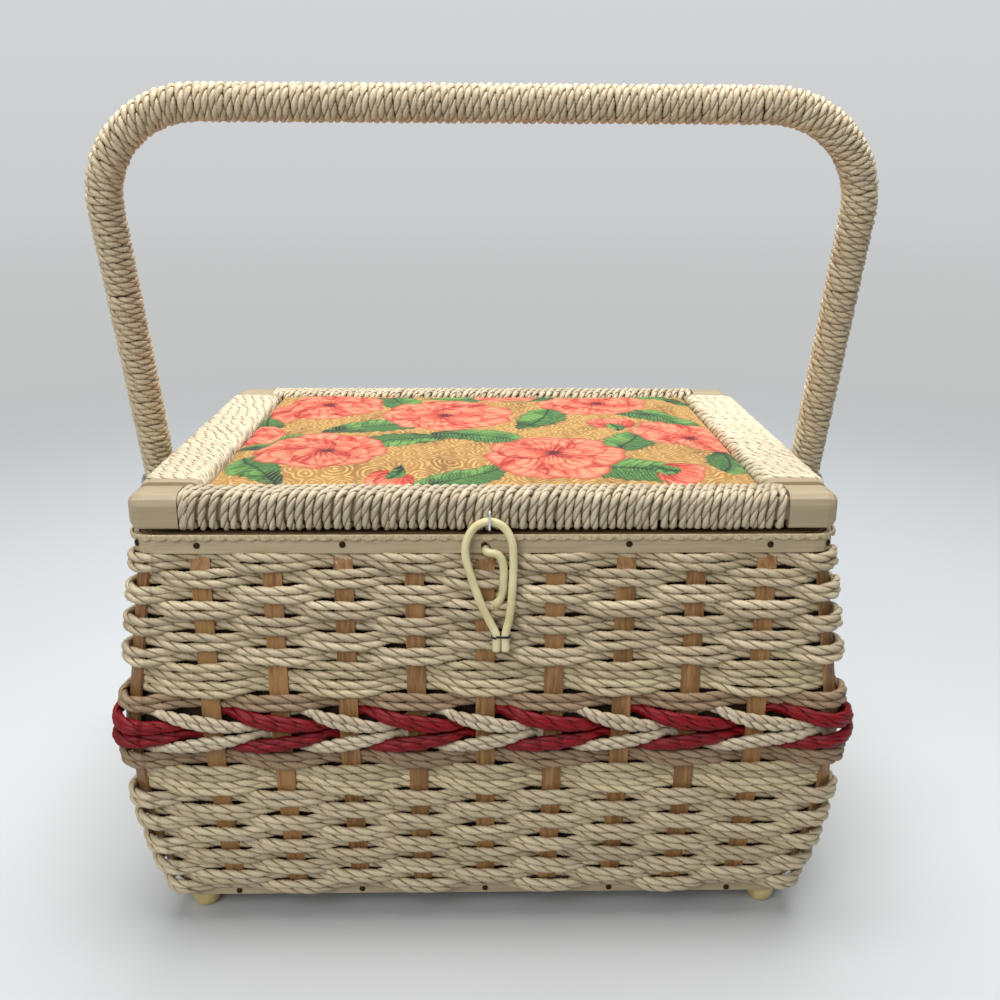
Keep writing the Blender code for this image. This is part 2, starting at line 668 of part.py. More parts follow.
def make_lining(mouth_half, mouth_radius):
    """Fabric-covered card box, open at the top, that follows the wall inside the stakes."""
    wall_radius = WEAVE_CORNER_RADIUS - LINING_DEPTH_IN_WALL
    low = BASE_TOP + GAP
    foot_half = LOW_BAND_INNER - 3 * GAP - STAKE_THICKNESS
    corner_reach = corner_stake_face(LOW_BAND_TOP) - (STAKE_THICKNESS + GAP) / math.sqrt(2)
    foot_radius = radius_to_clear(foot_half, corner_reach - GAP)
    stations = [(low, foot_half, foot_radius)]
    bend = LOW_BAND_TOP + STAKE_BEND_HEIGHT
    for i in range(LINING_SPAN_COUNT + 1):
        z = bend + (BELLY_HEIGHT - bend) * i / LINING_SPAN_COUNT
        stations.append((z, wall_half_depth(z) - LINING_DEPTH_IN_WALL, wall_radius))
    z = TOP_BAND_BOTTOM - STAKE_BEND_HEIGHT
    stations.append((z, wall_half_depth(z) - LINING_DEPTH_IN_WALL, wall_radius))
    stations.append((TOP_BAND_BOTTOM - LINING_BEND_HEIGHT, mouth_half - GAP, mouth_radius - GAP))
    stations.append((RIM_TOP - GAP, mouth_half - GAP, mouth_radius - GAP))
    outer = [ring(half, radius, z) for z, half, radius in stations]
    inner = []
    for z, half, radius in reversed(stations):
        height = max(z, low + LINING_THICKNESS)
        inner.append(ring(half - LINING_THICKNESS, radius - LINING_THICKNESS, height))
    return loft("lining", outer + inner, "lining_fabric", closed=False)


def make_braid():
    """Gimp braid over the top band's upper edge, in two lengths that stop at the hinges."""
    low = RIM_TOP + BRAID_RISE - BRAID_HEIGHT
    high = RIM_TOP + BRAID_RISE
    inner_half = TOP_BAND_HALF_DEPTH + GAP
    outer_half = inner_half + BRAID_THICKNESS
    radius = BAND_CORNER_RADIUS + GAP + BRAID_THICKNESS
    around = meshed(band("rim_braid", outer_half, radius, BRAID_THICKNESS, low, high, "braid"))
    hinge_reach = HINGE_X + HINGE_WIDTH / 2 + GAP
    back_gap = box_cutter(
        "cut_braid_back",
        (-hinge_reach, inner_half - OVERRUN, low - OVERRUN),
        (hinge_reach, outer_half + OVERRUN, high + OVERRUN),
    )
    cut(around, back_gap)
    back_reach = HINGE_X - HINGE_WIDTH / 2 - GAP
    strip = [(-back_reach, inner_half), (back_reach, inner_half),
             (back_reach, outer_half), (-back_reach, outer_half)]
    plate("rim_braid_back", [strip], low, high, "braid")
    return around


def bar_ring(along, place, section, radius, steps, low_radius=None):
    """One rounded cross-section of a lid rail or its winding, at a place along X or Y."""
    low_side, high_side, low_z, high_z = section
    outline = rectangle((high_side - low_side) / 2, (high_z - low_z) / 2, radius, steps, low_radius)
    side = (high_side + low_side) / 2
    z = (high_z + low_z) / 2
    if along == "x":
        return [Vector((place, side + a, z + b)) for a, b in outline]
    return [Vector((side + a, place, z + b)) for a, b in outline]


def shrunk(section, inset):
    low_side, high_side, low_z, high_z = section
    return (low_side + inset, high_side - inset, low_z + inset, high_z - inset)


def wrap_section(outer_side, width, side):
    """Outer cross-section of a rail's winding, on the side of the lid that side points to."""
    reach = sorted((side * (outer_side + WRAP_PROUD), side * (outer_side - width)))
    return (*reach, WRAP_BOTTOM, WRAP_TOP)


def rail_ring(along, place, section, inset):
    """A cross-section of a bare length of rail, rounder along its top than along its bottom."""
    radius = max(RAIL_EDGE_ROUND - inset, RAIL_LEAST_ROUND)
    low_radius = max(RAIL_BOTTOM_ROUND - inset, RAIL_LEAST_ROUND)
    return bar_ring(along, place, shrunk(section, inset), radius, CORNER_STEPS, low_radius)


def long_rail(name, side):
    """A front or back rail: full-size bare corners, and a thinner core where cord is wound."""
    reach = sorted((side * LID_HALF_DEPTH, side * (LID_HALF_DEPTH - LONG_RAIL_WIDTH)))
    full = (*reach, RAIL_BOTTOM, RAIL_TOP)
    core = shrunk(wrap_section(LID_HALF_DEPTH, LONG_RAIL_WIDTH, side), WRAP_CORD + GAP)
    shoulder = LID_HALF_WIDTH - BARE_CORNER_LENGTH
    halves = []
    for half in (-1, 1):
        rings = []
        for step in range(RAIL_END_STEPS + 1):
            angle = math.pi / 2 * step / RAIL_END_STEPS
            inset = RAIL_EDGE_ROUND * (1 - math.sin(angle))
            x = LID_HALF_WIDTH - RAIL_EDGE_ROUND * (1 - math.cos(angle))
            rings.append(rail_ring("x", half * x, full, inset))
        rings.append(rail_ring("x", half * shoulder, full, 0))
        rings.append(bar_ring("x", half * shoulder, core, RAIL_CORE_ROUND, CORNER_STEPS))
        halves.append(rings)
    left, right = halves
    return loft(name, left + list(reversed(right)), "frame_wood", closed=False)


def short_rail(name, side):
    """A side rail between the long rails: bare ends, and a thinner core where cord is wound."""
    reach = sorted((side * LID_HALF_WIDTH, side * (LID_HALF_WIDTH - SIDE_RAIL_WIDTH)))
    full = (*reach, RAIL_BOTTOM, RAIL_TOP)
    core = shrunk(wrap_section(LID_HALF_WIDTH, SIDE_RAIL_WIDTH, side), WRAP_CORD + GAP)
    rings = []
    for end in (-1, 1):
        bare = [rail_ring("y", end * place, full, 0) for place in (SIDE_RAIL_END, SIDE_RAIL_SHOULDER)]
        bare.append(bar_ring("y", end * SIDE_RAIL_SHOULDER, core, RAIL_CORE_ROUND, CORNER_STEPS))
        rings += bare if end < 0 else reversed(bare)
    return loft(name, rings, "frame_wood", closed=False)


def rail_wrap(name, along, outer, reach, ridges):
    """Cord wound along a rail, as a ridged sleeve over it."""
    rings = []
    for i in range(2 * ridges + 1):
        place = reach * (i / ridges - 1)
        inset = 0 if i % 2 else WRAP_RIDGE_DEPTH
        section = shrunk(outer, inset)
        rings.append(bar_ring(along, place, section, WRAP_EDGE_ROUND, WRAP_CORNER_STEPS))
    bore = shrunk(outer, WRAP_CORD)
    for place in (reach, -reach):
        rings.append(bar_ring(along, place, bore, RAIL_LEAST_ROUND, WRAP_CORNER_STEPS))
    return loft(name, rings, "cream_cord", closed=True)


def panel_ring(inset, height):
    """A plan outline of the lid's panel, this far inside its edge."""
    radius = max(LID_PANEL_RADIUS - inset, RAIL_LEAST_ROUND)
    outline = rectangle(LID_PANEL_HALF_WIDTH - inset, LID_PANEL_HALF_DEPTH - inset, radius)
    return [Vector((x, y, height)) for x, y in outline]


def crowned(inset):
    """Rings of the padded panel from its shoulder to the middle of its crown."""
    shoulder = LID_BOARD_BOTTOM + PAD_SHOULDER_HEIGHT
    rings = []
    for step in range(PAD_CROWN_STEPS + 1):
        share = step / PAD_CROWN_STEPS
        angle = math.pi / 2 * share
        reach = PAD_CROWN_REACH_SHARE * (1 - math.cos(angle)) * LID_PANEL_HALF_DEPTH
        rings.append(panel_ring(inset + reach, shoulder + PAD_CROWN * math.sin(angle) - inset))
    return rings


def make_lid_panel():
    """Inside lining, board, crowned pad and the printed cover stretched over them."""
    outline = rectangle(LID_PANEL_HALF_WIDTH, LID_PANEL_HALF_DEPTH, LID_PANEL_RADIUS)
    lining = plate("lid_lining", [outline], WRAP_BOTTOM, WRAP_BOTTOM + LID_LINING_THICKNESS,
                   "lining_fabric")
    board_inset = LID_COVER_THICKNESS + GAP
    outline = rectangle(LID_PANEL_HALF_WIDTH - board_inset, LID_PANEL_HALF_DEPTH - board_inset,
                        LID_PANEL_RADIUS - board_inset)
    board_top = LID_BOARD_BOTTOM + LID_BOARD_THICKNESS
    board = plate("lid_board", [outline], LID_BOARD_BOTTOM, board_top, "board")
    pad = loft("lid_pad", [panel_ring(board_inset, board_top + GAP), *crowned(board_inset)],
               "foam", closed=False)
    outer = [panel_ring(0, LID_BOARD_BOTTOM), *crowned(0)]
    inner = [*reversed(crowned(LID_COVER_THICKNESS)),
             panel_ring(LID_COVER_THICKNESS, LID_BOARD_BOTTOM)]
    cover = cover_shell("lid_cover", outer, inner)
    return [lining, board, pad, cover]


def cover_shell(name, outer, inner):
    """The printed cover: capped at the crown outside and inside, open below."""
    shape = bmesh.new()
    rows = [[shape.verts.new(point) for point in points] for points in outer + inner]
    count = len(rows[0])
    crown = len(outer) - 1
    for number in range(len(rows)):
        if number == crown:
            continue
        low = rows[number]
        high = rows[(number + 1) % len(rows)]
        for i in range(count):
            j = (i + 1) % count
            shape.faces.new((low[i], low[j], high[j], high[i]))
    shape.faces.new(rows[crown])
    shape.faces.new(list(reversed(rows[crown + 1])))
    return add_part(name, mesh_from(name, shape), "print_fabric")


def make_lid_frame():
    """Four rails and the cord wound on them."""
    pieces = []
    long_reach = LID_HALF_WIDTH - BARE_CORNER_LENGTH - GAP
    short_reach = SIDE_RAIL_SHOULDER - GAP
    for end, side in (("front", -1), ("back", 1)):
        pieces.append(long_rail(f"lid_rail_{end}", side))
        outer = wrap_section(LID_HALF_DEPTH, LONG_RAIL_WIDTH, side)
        pieces.append(rail_wrap(f"wrap_{end}", "x", outer, long_reach, LONG_WRAP_RIDGE_COUNT))
    for end, side in (("left", -1), ("right", 1)):
        pieces.append(short_rail(f"lid_rail_{end}", side))
        outer = wrap_section(LID_HALF_WIDTH, SIDE_RAIL_WIDTH, side)
        pieces.append(rail_wrap(f"wrap_{end}", "y", outer, short_reach, SHORT_WRAP_RIDGE_COUNT))
    return pieces


def leaf_outline(length):
    """A hinge leaf seen from its end: a knuckle on the origin, with the plate hanging down."""
    plate_inner = -HINGE_KNUCKLE_RADIUS + HINGE_LEAF_THICKNESS
    last = math.pi + math.acos(-plate_inner / HINGE_KNUCKLE_RADIUS)
    points = [(plate_inner, -length), (-HINGE_KNUCKLE_RADIUS, -length)]
    for step in range(HINGE_KNUCKLE_STEPS + 1):
        angle = math.pi - (2 * math.pi - (last - math.pi)) * step / HINGE_KNUCKLE_STEPS
        points.append((HINGE_KNUCKLE_RADIUS * math.cos(angle), HINGE_KNUCKLE_RADIUS * math.sin(angle)))
    return points


def hinge_leaf(name, x, length, up, own_knuckles):
    """A plate with its share of the knuckles, from an outline extruded along X."""
    outline = leaf_outline(length)
    bore = []
    for step in range(HINGE_KNUCKLE_STEPS):
        angle = 2 * math.pi * step / HINGE_KNUCKLE_STEPS
        radius = HINGE_PIN_RADIUS + RUNNING_GAP
        bore.append((radius * math.cos(angle), radius * math.sin(angle)))
    curve = flat_curve(name, [outline, bore], -HINGE_WIDTH / 2, HINGE_WIDTH / 2)
    obj = add_part(name, curve, "brass_plate")
    across = Vector((0, 1, 0))
    rise = Vector((0, 0, -1 if up else 1))
    turn = Matrix((across, rise, across.cross(rise))).transposed().to_4x4()
    obj.matrix_world = Matrix.Translation((x, HINGE_Y, HINGE_Z)) @ turn
    leaf = meshed(obj)
    pitch = HINGE_WIDTH / HINGE_KNUCKLE_COUNT
    swing = HINGE_KNUCKLE_RADIUS + GAP
    for i in range(HINGE_KNUCKLE_COUNT):
        if i in own_knuckles:
            continue
        low = x - HINGE_WIDTH / 2 + pitch * i - (GAP if i else OVERRUN)
        high = x - HINGE_WIDTH / 2 + pitch * (i + 1) + (GAP if i < HINGE_KNUCKLE_COUNT - 1 else OVERRUN)
        notch = box_cutter(f"notch_{name}_{i}", (low, HINGE_Y - swing, HINGE_Z - swing),
                           (high, HINGE_Y + swing, HINGE_Z + swing))
        cut(leaf, notch)
    return leaf


def make_hinges():
    """Two butt hinges: leaves on the basket and on the lid, and a pin through each."""
    lid_leaves = []
    for side, sign in (("left", -1), ("right", 1)):
        x = sign * HINGE_X
        hinge_leaf(f"hinge_body_leaf_{side}", x, HINGE_BODY_LEAF_LENGTH, False, (0, 2))
        lid_leaves.append(hinge_leaf(f"hinge_lid_leaf_{side}", x, HINGE_LID_LEAF_LENGTH, True, (1,)))
        half = HINGE_WIDTH / 2
        profile = [(0, half), (HINGE_PIN_RADIUS, half), (HINGE_PIN_RADIUS, -half), (0, -half)]
        turn = Matrix.Rotation(math.pi / 2, 4, "Y")
        turned(f"hinge_pin_{side}", profile, "bright_steel",
               Matrix.Translation((x, HINGE_Y, HINGE_Z)) @ turn, HINGE_KNUCKLE_STEPS)
    return lid_leaves


def latch_y(drop):
    """The hanging loop lies along the sloping front, with its tails just clear of the weave."""
    tail_drop = LATCH_LOOP_ROUTE[0][1]
    tail_face = wall_half_depth(LATCH_Z - tail_drop) + LATCH_WALL_CLEARANCE
    slope = (-tail_face - LATCH_CORD_RADIUS - LATCH_Y) / tail_drop
    return LATCH_Y + slope * drop


def make_latch():
    """The loop and the thread that ties its legs together."""
    route = [(LATCH_APEX_X + x, latch_y(drop), LATCH_Z - drop) for x, drop in LATCH_LOOP_ROUTE]
    curve = tube_curve("latch_loop", smooth_route(route), LATCH_CORD_RADIUS)
    loop = add_part("latch_loop", curve, "latch_plastic")
    left = LATCH_APEX_X + LATCH_LOOP_ROUTE[0][0]
    right = LATCH_APEX_X + LATCH_LOOP_ROUTE[-1][0]
    middle = (left + right) / 2
    reach = LATCH_CORD_RADIUS + GAP + TIE_THREAD_RADIUS
    half_width = (right - left) / 2 + reach
    outline = rectangle(half_width, reach, reach - RUNNING_GAP, TIE_CORNER_STEPS)
    points = [(middle + x, latch_y(TIE_DROP) + y, LATCH_Z - TIE_DROP) for x, y in outline]
    tie_curve = tube_curve("latch_tie", points, TIE_THREAD_RADIUS, cyclic=True)
    return [loop, add_part("latch_tie", tie_curve, "tie_thread")]


def make_staple(pieces):
    """Wire staple that holds the loop's top, and its holes in the front rail and winding."""
    high = LATCH_Z + STAPLE_RISE
    low = LATCH_Z - STAPLE_DROP
    front = LATCH_Y - LATCH_CORD_RADIUS - GAP - STAPLE_WIRE_RADIUS
    upper_end = -WRAP_OUTER + STAPLE_UPPER_LEG
    lower_end = -WRAP_OUTER + STAPLE_LOWER_LEG
    x = LATCH_APEX_X
    points = [(x, upper_end, high), (x, front, high), (x, front, low), (x, lower_end, low)]
    staple = add_part("latch_staple", tube_curve("latch_staple", points, STAPLE_WIRE_RADIUS), "bright_steel")
    hole = STAPLE_WIRE_RADIUS + RUNNING_GAP
    upper = drill("drill_staple_upper", (x, front, high), (x, upper_end + GAP, high), hole)
    lower = drill("drill_staple_lower", (x, front, low), (x, lower_end + GAP, low), hole)
    for piece in pieces:
        if piece.name == "wrap_front":
            cut(piece, upper)
            cut(piece, lower)
        if piece.name == "lid_rail_front":
            cut(piece, upper)
    return staple


def keeper_leg(tip, before):
    """Bend points from a leg, which points into the basket, to the front route's tip."""
    heading = (tip - before).normalized()
    points = []
    for step in range(KEEPER_BEND_STEPS):
        angle = math.pi / 2 * (1 - step / KEEPER_BEND_STEPS)
        inwards = Vector((0, 1 - math.cos(angle), 0))
        points.append(tip + KEEPER_BEND_RADIUS * (math.sin(angle) * heading + inwards))
    return points


def make_keeper(walls):
    """Half ring of cord. One leg goes through the top band and the other into the weave, and
    it lies in a channel in the weave."""
    y = LATCH_Y - KEEPER_FORWARD
    route = [Vector((x, y, TOP_BAND_BOTTOM - drop)) for x, drop in KEEPER_ROUTE]
    upper = keeper_leg(route[0], route[1])
    lower = keeper_leg(route[-1], route[-2])
    upper_end = -(TOP_BAND_INNER - GAP - STAKE_THICKNESS)
    lower_end = -(wall_half_depth(lower[0].z) - WEAVE_THICKNESS + GAP)
    path = [
        Vector((upper[0].x, upper_end, upper[0].z)), *upper,
        *smooth_route(route),
        *reversed(lower), Vector((lower[0].x, lower_end, lower[0].z)),
    ]
    add_part("keeper_loop", tube_curve("keeper_loop", path, LATCH_CORD_RADIUS), "latch_plastic")
    through = [path[0] + Vector((0, OVERRUN, 0)), *path, path[-1] + Vector((0, OVERRUN, 0))]
    curve = tube_curve("cut_keeper_channel", through, LATCH_CORD_RADIUS + GAP)
    channel = meshed(add_cutter("cut_keeper_channel", curve))
    for wall in walls:
        cut(wall, channel)


def handle_place(distance):
    """Centre and direction of the leaning handle at a distance from its left end."""
    mirrored = distance > HANDLE_LENGTH / 2
    s = HANDLE_LENGTH - distance if mirrored else distance
    if s < HANDLE_LEG:
        x, rise, angle = -HANDLE_SPREAD, s - HANDLE_TAIL, 0
    elif s < HANDLE_LEG + HANDLE_ARC:
        angle = (s - HANDLE_LEG) / HANDLE_BEND_RADIUS
        x = -HANDLE_HALF_BAR - HANDLE_BEND_RADIUS * math.cos(angle)
        rise = HANDLE_REACH - HANDLE_BEND_RADIUS * (1 - math.sin(angle))
    else:
        angle = math.pi / 2
        x = s - HANDLE_LEG - HANDLE_ARC - HANDLE_HALF_BAR
        rise = HANDLE_REACH
    side = -1 if mirrored else 1
    across = Vector((1, 0, 0))
    lean = math.radians(HANDLE_LEAN)
    up = Vector((0, -math.sin(lean), math.cos(lean)))
    centre = Vector((0, PIVOT_Y, PIVOT_Z)) + side * x * across + rise * up
    return centre, math.sin(angle) * across + side * math.cos(angle) * up


def handle_ring(distance, radius):
    """A cross-section of the handle's winding, square to its centre line."""
    centre, direction = handle_place(distance)
    lean = math.radians(HANDLE_LEAN)
    out = Vector((0, -math.cos(lean), -math.sin(lean)))
    side = direction.cross(out)
    points = []
    for i in range(HANDLE_SIDES):
        angle = 2 * math.pi * (i + 0.5) / HANDLE_SIDES
        points.append(centre + radius * (math.cos(angle) * out + math.sin(angle) * side))
    return points


def core_distances():
    """Distances of the core's points: the ends, and steps round each bend."""
    bend = [HANDLE_LEG + HANDLE_ARC * i / HANDLE_BEND_STEPS for i in range(HANDLE_BEND_STEPS + 1)]
    return [0, *bend, *[HANDLE_LENGTH - s for s in reversed(bend)], HANDLE_LENGTH]


def make_handle():
    """Core rod and its winding, drilled at both ends for the pivot bolts."""
    centres = [handle_place(distance)[0] for distance in core_distances()]
    core_curve = tube_curve("handle_core", centres, HANDLE_CORE_RADIUS)
    core = meshed(add_part("handle_core", core_curve, "stake_wood"))
    rings = []
    for i in range(2 * HANDLE_RIDGE_COUNT + 1):
        distance = HANDLE_LENGTH * i / (2 * HANDLE_RIDGE_COUNT)
        radius = HANDLE_RADIUS if i % 2 else HANDLE_RADIUS - WRAP_RIDGE_DEPTH
        rings.append(handle_ring(distance, radius))
    bore = (HANDLE_CORE_RADIUS + GAP) / math.cos(math.pi / HANDLE_SIDES)
    for distance in reversed(core_distances()):
        rings.append(handle_ring(distance, bore))
    wrap = loft("handle_wrap", rings, "cream_cord", closed=True)
    for side, sign in (("left", -1), ("right", 1)):
        reach = HANDLE_RADIUS + OVERRUN
        hole = drill(f"drill_handle_{side}", (sign * (HANDLE_SPREAD - reach), PIVOT_Y, PIVOT_Z),
                     (sign * (HANDLE_SPREAD + reach), PIVOT_Y, PIVOT_Z), BOLT_HOLE_RADIUS)
        cut(core, hole)
        cut(wrap, hole)
    return [core, wrap]


def make_pivots(walls, mouth_half, braid):
    """Bolt, spacer and nut on each side, and their holes through the rim."""
    head_base = HANDLE_SPREAD + HANDLE_RADIUS + GAP
    lining_face = mouth_half - GAP - LINING_THICKNESS + LONG_EXCESS
    nut_outer = lining_face - GAP
    bolt_end = nut_outer - NUT_THICKNESS - BOLT_END_PROUD
    profile = [(0, head_base + BOLT_HEAD_HEIGHT)]
    for step in range(1, BOLT_HEAD_STEPS + 1):
        angle = math.pi / 2 * step / BOLT_HEAD_STEPS
        radius = BOLT_HEAD_RADIUS * math.sin(angle)
        profile.append((radius, head_base + BOLT_HEAD_HEIGHT * math.cos(angle)))
    profile += [(BOLT_RADIUS, head_base), (BOLT_RADIUS, bolt_end), (0, bolt_end)]
    spacer_low = RIM_HALF_WIDTH + GAP
    spacer_high = spacer_low + SPACER_LENGTH
    bore = BOLT_HOLE_RADIUS
    spacer = [(SPACER_RADIUS, spacer_high), (SPACER_RADIUS, spacer_low), (bore, spacer_low),
              (bore, spacer_high), (SPACER_RADIUS, spacer_high)]
    hexagon = []
    round_hole = []
    for step in range(NUT_SIDES):
        angle = 2 * math.pi * step / NUT_SIDES
        hexagon.append((NUT_RADIUS * math.cos(angle), NUT_RADIUS * math.sin(angle)))
    for step in range(ROUND_SIDES):
        angle = 2 * math.pi * step / ROUND_SIDES
        round_hole.append((bore * math.cos(angle), bore * math.sin(angle)))
    for side, sign in (("left", -1), ("right", 1)):
        place = Matrix.Translation((0, PIVOT_Y, PIVOT_Z)) @ Matrix.Rotation(sign * math.pi / 2, 4, "Y")
        turned(f"pivot_bolt_{side}", profile, "bright_steel", place)
        turned(f"pivot_spacer_{side}", spacer, "bright_steel", place)
        curve = flat_curve(f"pivot_nut_{side}", [hexagon, round_hole], 0, NUT_THICKNESS)
        nut = add_part(f"pivot_nut_{side}", curve, "bright_steel")
        middle = nut_outer - NUT_THICKNESS / 2
        nut.matrix_world = place @ Matrix.Translation((0, 0, middle))
        hole = drill(f"drill_rim_{side}", (sign * (lining_face - OVERRUN), PIVOT_Y, PIVOT_Z),
                     (sign * (RIM_HALF_WIDTH + OVERRUN), PIVOT_Y, PIVOT_Z), BOLT_HOLE_RADIUS)
        for wall in walls[side]:
            cut(wall, hole)
        notch = drill(f"notch_braid_{side}", (sign * (RIM_HALF_WIDTH - OVERRUN), PIVOT_Y, PIVOT_Z),
                      (sign * (RIM_HALF_WIDTH + GAP + BRAID_THICKNESS + OVERRUN), PIVOT_Y, PIVOT_Z),
                      SPACER_RADIUS + GAP)
        cut(braid, notch)


def joint_axis(name, place, pieces):
    """An empty on a joint's axis, which carries the pieces that turn about it."""
    empty = bpy.data.objects.new(name, None)
    PARTS.objects.link(empty)
    empty.location = place
    bpy.context.view_layer.update()
    for piece in pieces:
        piece.parent = empty
        piece.matrix_parent_inverse = empty.matrix_world.inverted()
    return empty


def main():
    weave = make_walls()
    make_bottom()
    front_stakes, left_stakes, right_stakes = make_stakes()
    top_band, inner_rim, mouth_half, mouth_radius = make_rim()
    lining = make_lining(mouth_half, mouth_radius)
    braid = make_braid()
    shared = [top_band, inner_rim, lining]
    make_pivots({"left": [*shared, left_stakes], "right": [*shared, right_stakes]}, mouth_half, braid)
    make_keeper([weave, top_band, front_stakes])
    lid = make_lid_frame()
    staple = make_staple(lid)
    lid_leaves = make_hinges()
    panel = make_lid_panel()
    latch = make_latch()
    handle = make_handle()
    lid_axis = joint_axis("lid_hinge", (0, HINGE_Y, HINGE_Z), [*lid, *panel, *lid_leaves, staple])
    latch_axis = joint_axis("latch_swing", (0, LATCH_Y, LATCH_Z), latch)
    latch_axis.parent = lid_axis
    latch_axis.matrix_parent_inverse = lid_axis.matrix_world.inverted()
    joint_axis("handle_swing", (0, PIVOT_Y, PIVOT_Z), handle)


main()
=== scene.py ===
"""Looks of the wicker sewing basket: real cords in place of the plain walls and windings, the
padded print of the lid, the small fittings, and the studio round them.

Metres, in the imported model's frame: +Z up, the front towards -Y, the origin on the floor. Plan
outlines are given by their half depth along Y, and their half width is LONG_EXCESS more.
"""

import math

import bmesh
import bpy
import numpy as np
from mathutils import Matrix, Vector
from mathutils.bvhtree import BVHTree


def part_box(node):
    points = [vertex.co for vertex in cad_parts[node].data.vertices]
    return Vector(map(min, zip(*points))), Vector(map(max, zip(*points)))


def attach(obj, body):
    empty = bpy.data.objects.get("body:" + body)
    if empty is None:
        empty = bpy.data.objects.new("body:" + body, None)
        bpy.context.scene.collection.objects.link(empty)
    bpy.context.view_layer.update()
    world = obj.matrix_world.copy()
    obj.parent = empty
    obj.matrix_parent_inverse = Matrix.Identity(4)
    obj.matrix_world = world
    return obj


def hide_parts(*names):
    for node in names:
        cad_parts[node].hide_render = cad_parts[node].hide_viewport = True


MM = 0.001
TURN = 2 * math.pi
RANDOM = np.random.RandomState(11)

# Camera that the photograph fits
PICTURE_SIZE = 1000
FOCAL_PIXELS = 1060
SENSOR_WIDTH = 36
CAMERA_PLACE = (-2.05 * MM, -523.2 * MM, 329.9 * MM)
CAMERA_YAW = 1.13
CAMERA_PITCH = 17.19
CAMERA_ROLL = 0.25
CAMERA_NEAR = 10 * MM

# Walls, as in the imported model
LONG_EXCESS = 34.7 * MM
WALL_RIM = 114.4 * MM
WALL_BELLY = 123.6 * MM
WALL_FOOT = 112.3 * MM
WALL_TOP = 179.3 * MM
WALL_BOTTOM = 14.7 * MM
BELLY_HEIGHT = 102.65 * MM
WALL_FOOT_POWER = 2.1
WALL_CORNER = 14 * MM

# Stakes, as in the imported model
STAKES_BOTTOM = 10.5 * MM
STAKES_TOP = 187.2 * MM
STAKE_REACH = 106.5 * MM
STAKE_SPLAY = 5 * MM
STAKE_MARGIN = 28.2 * MM
FRONT_STAKES = 9
SIDE_STAKES = 7
LOOP_STAKES = 2 * (FRONT_STAKES + SIDE_STAKES + 2)

# Paper cord of two plies. The shape is (degrees from a groove, share of the radius).
CORD_RADIUS = 2.12 * MM
CORD_STEP = 1.9 * MM
PLY_SHAPE = (
    (0, 0.58), (12, 0.76), (30, 0.91), (60, 1), (90, 1.03), (120, 1), (150, 0.91), (168, 0.76),
)
ROUND_SHAPE = tuple((15 * step, 1) for step in range(12))
WEAVE_PITCH = 16 * MM
PLAIN_PITCH = 1.0
TWIST_DRIFT = 0.5
TWIST_DRIFT_LENGTH = 14 * MM
ARROW_PITCH = 11 * MM
CRIMSON_PITCH = 18 * MM
WRAP_PITCH = 11.5 * MM

# Over and under
WEAVE_MIDDLE = 3.85 * MM
WEAVE_SWING = 2.25 * MM
CORNER_TUCK = 0.9 * MM
CORNER_TUCK_REACH = 0.45
CORNER_BULGE = 0.5 * MM
WOBBLE_HEIGHT = 0.26 * MM
WOBBLE_DEPTH = 0.12 * MM
WOBBLE_TERMS = 9
WOBBLE_WAVES = (4, 44)
SPREAD_LEAST = -0.2
CORD_FLATNESS = 0.92
CORNER_FLATTENING = 0.25


def node_heights(name):
    low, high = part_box(name)
    return low.z, high.z


def wall_half_depth(height):
    """Half depth of the weave's outer face: straight from the rim to the belly, then curved in."""
    height = np.asarray(height, float)
    lean = (WALL_TOP - height) / (WALL_TOP - BELLY_HEIGHT)
    above = WALL_RIM + lean * (WALL_BELLY - WALL_RIM)
    share = np.clip((BELLY_HEIGHT - height) / (BELLY_HEIGHT - WALL_BOTTOM), 0, None)
    below = WALL_BELLY - (WALL_BELLY - WALL_FOOT) * share ** WALL_FOOT_POWER
    return np.where(height >= BELLY_HEIGHT, above, below)


def stake_places(height, count, excess):
    """Places of one side's stakes along it, from its middle."""
    share = (height - STAKES_BOTTOM) / (STAKES_TOP - STAKES_BOTTOM)
    reach = STAKE_REACH + excess + share * STAKE_SPLAY - STAKE_MARGIN
    return np.linspace(-reach, reach, count)


class Loop:
    """A round-cornered rectangle, run counterclockwise from the left end of its low side."""

    def __init__(self, half_x, half_y, radius):
        flat_x = half_x - radius
        flat_y = half_y - radius
        arc = radius * math.pi / 2
        self.radius = radius
        self.flats = (flat_x, flat_y, arc)
        self.stops = np.cumsum([0] + 2 * [2 * flat_x, arc, 2 * flat_y, arc])
        self.length = self.stops[-1]
        quarter = math.pi / 2
        self.angles = quarter * np.array([-1, -1, 0, 0, 1, 1, 2, 2, 3])
        self.core_x = flat_x * np.array([-1, 1, 1, 1, 1, -1, -1, -1, -1])
        self.core_y = flat_y * np.array([-1, -1, -1, 1, 1, 1, 1, -1, -1])

    def at(self, run, outwards=0.0):
        """Coordinates and outward directions of the points at these distances along it."""
        run = np.mod(run, self.length)
        angle = np.interp(run, self.stops, self.angles)
        normal = np.stack([np.cos(angle), np.sin(angle)], axis=-1)
        core = np.stack([np.interp(run, self.stops, self.core_x),
                         np.interp(run, self.stops, self.core_y)], axis=-1)
        reach = np.broadcast_to(self.radius + outwards, run.shape)
        return core + reach[:, None] * normal, normal


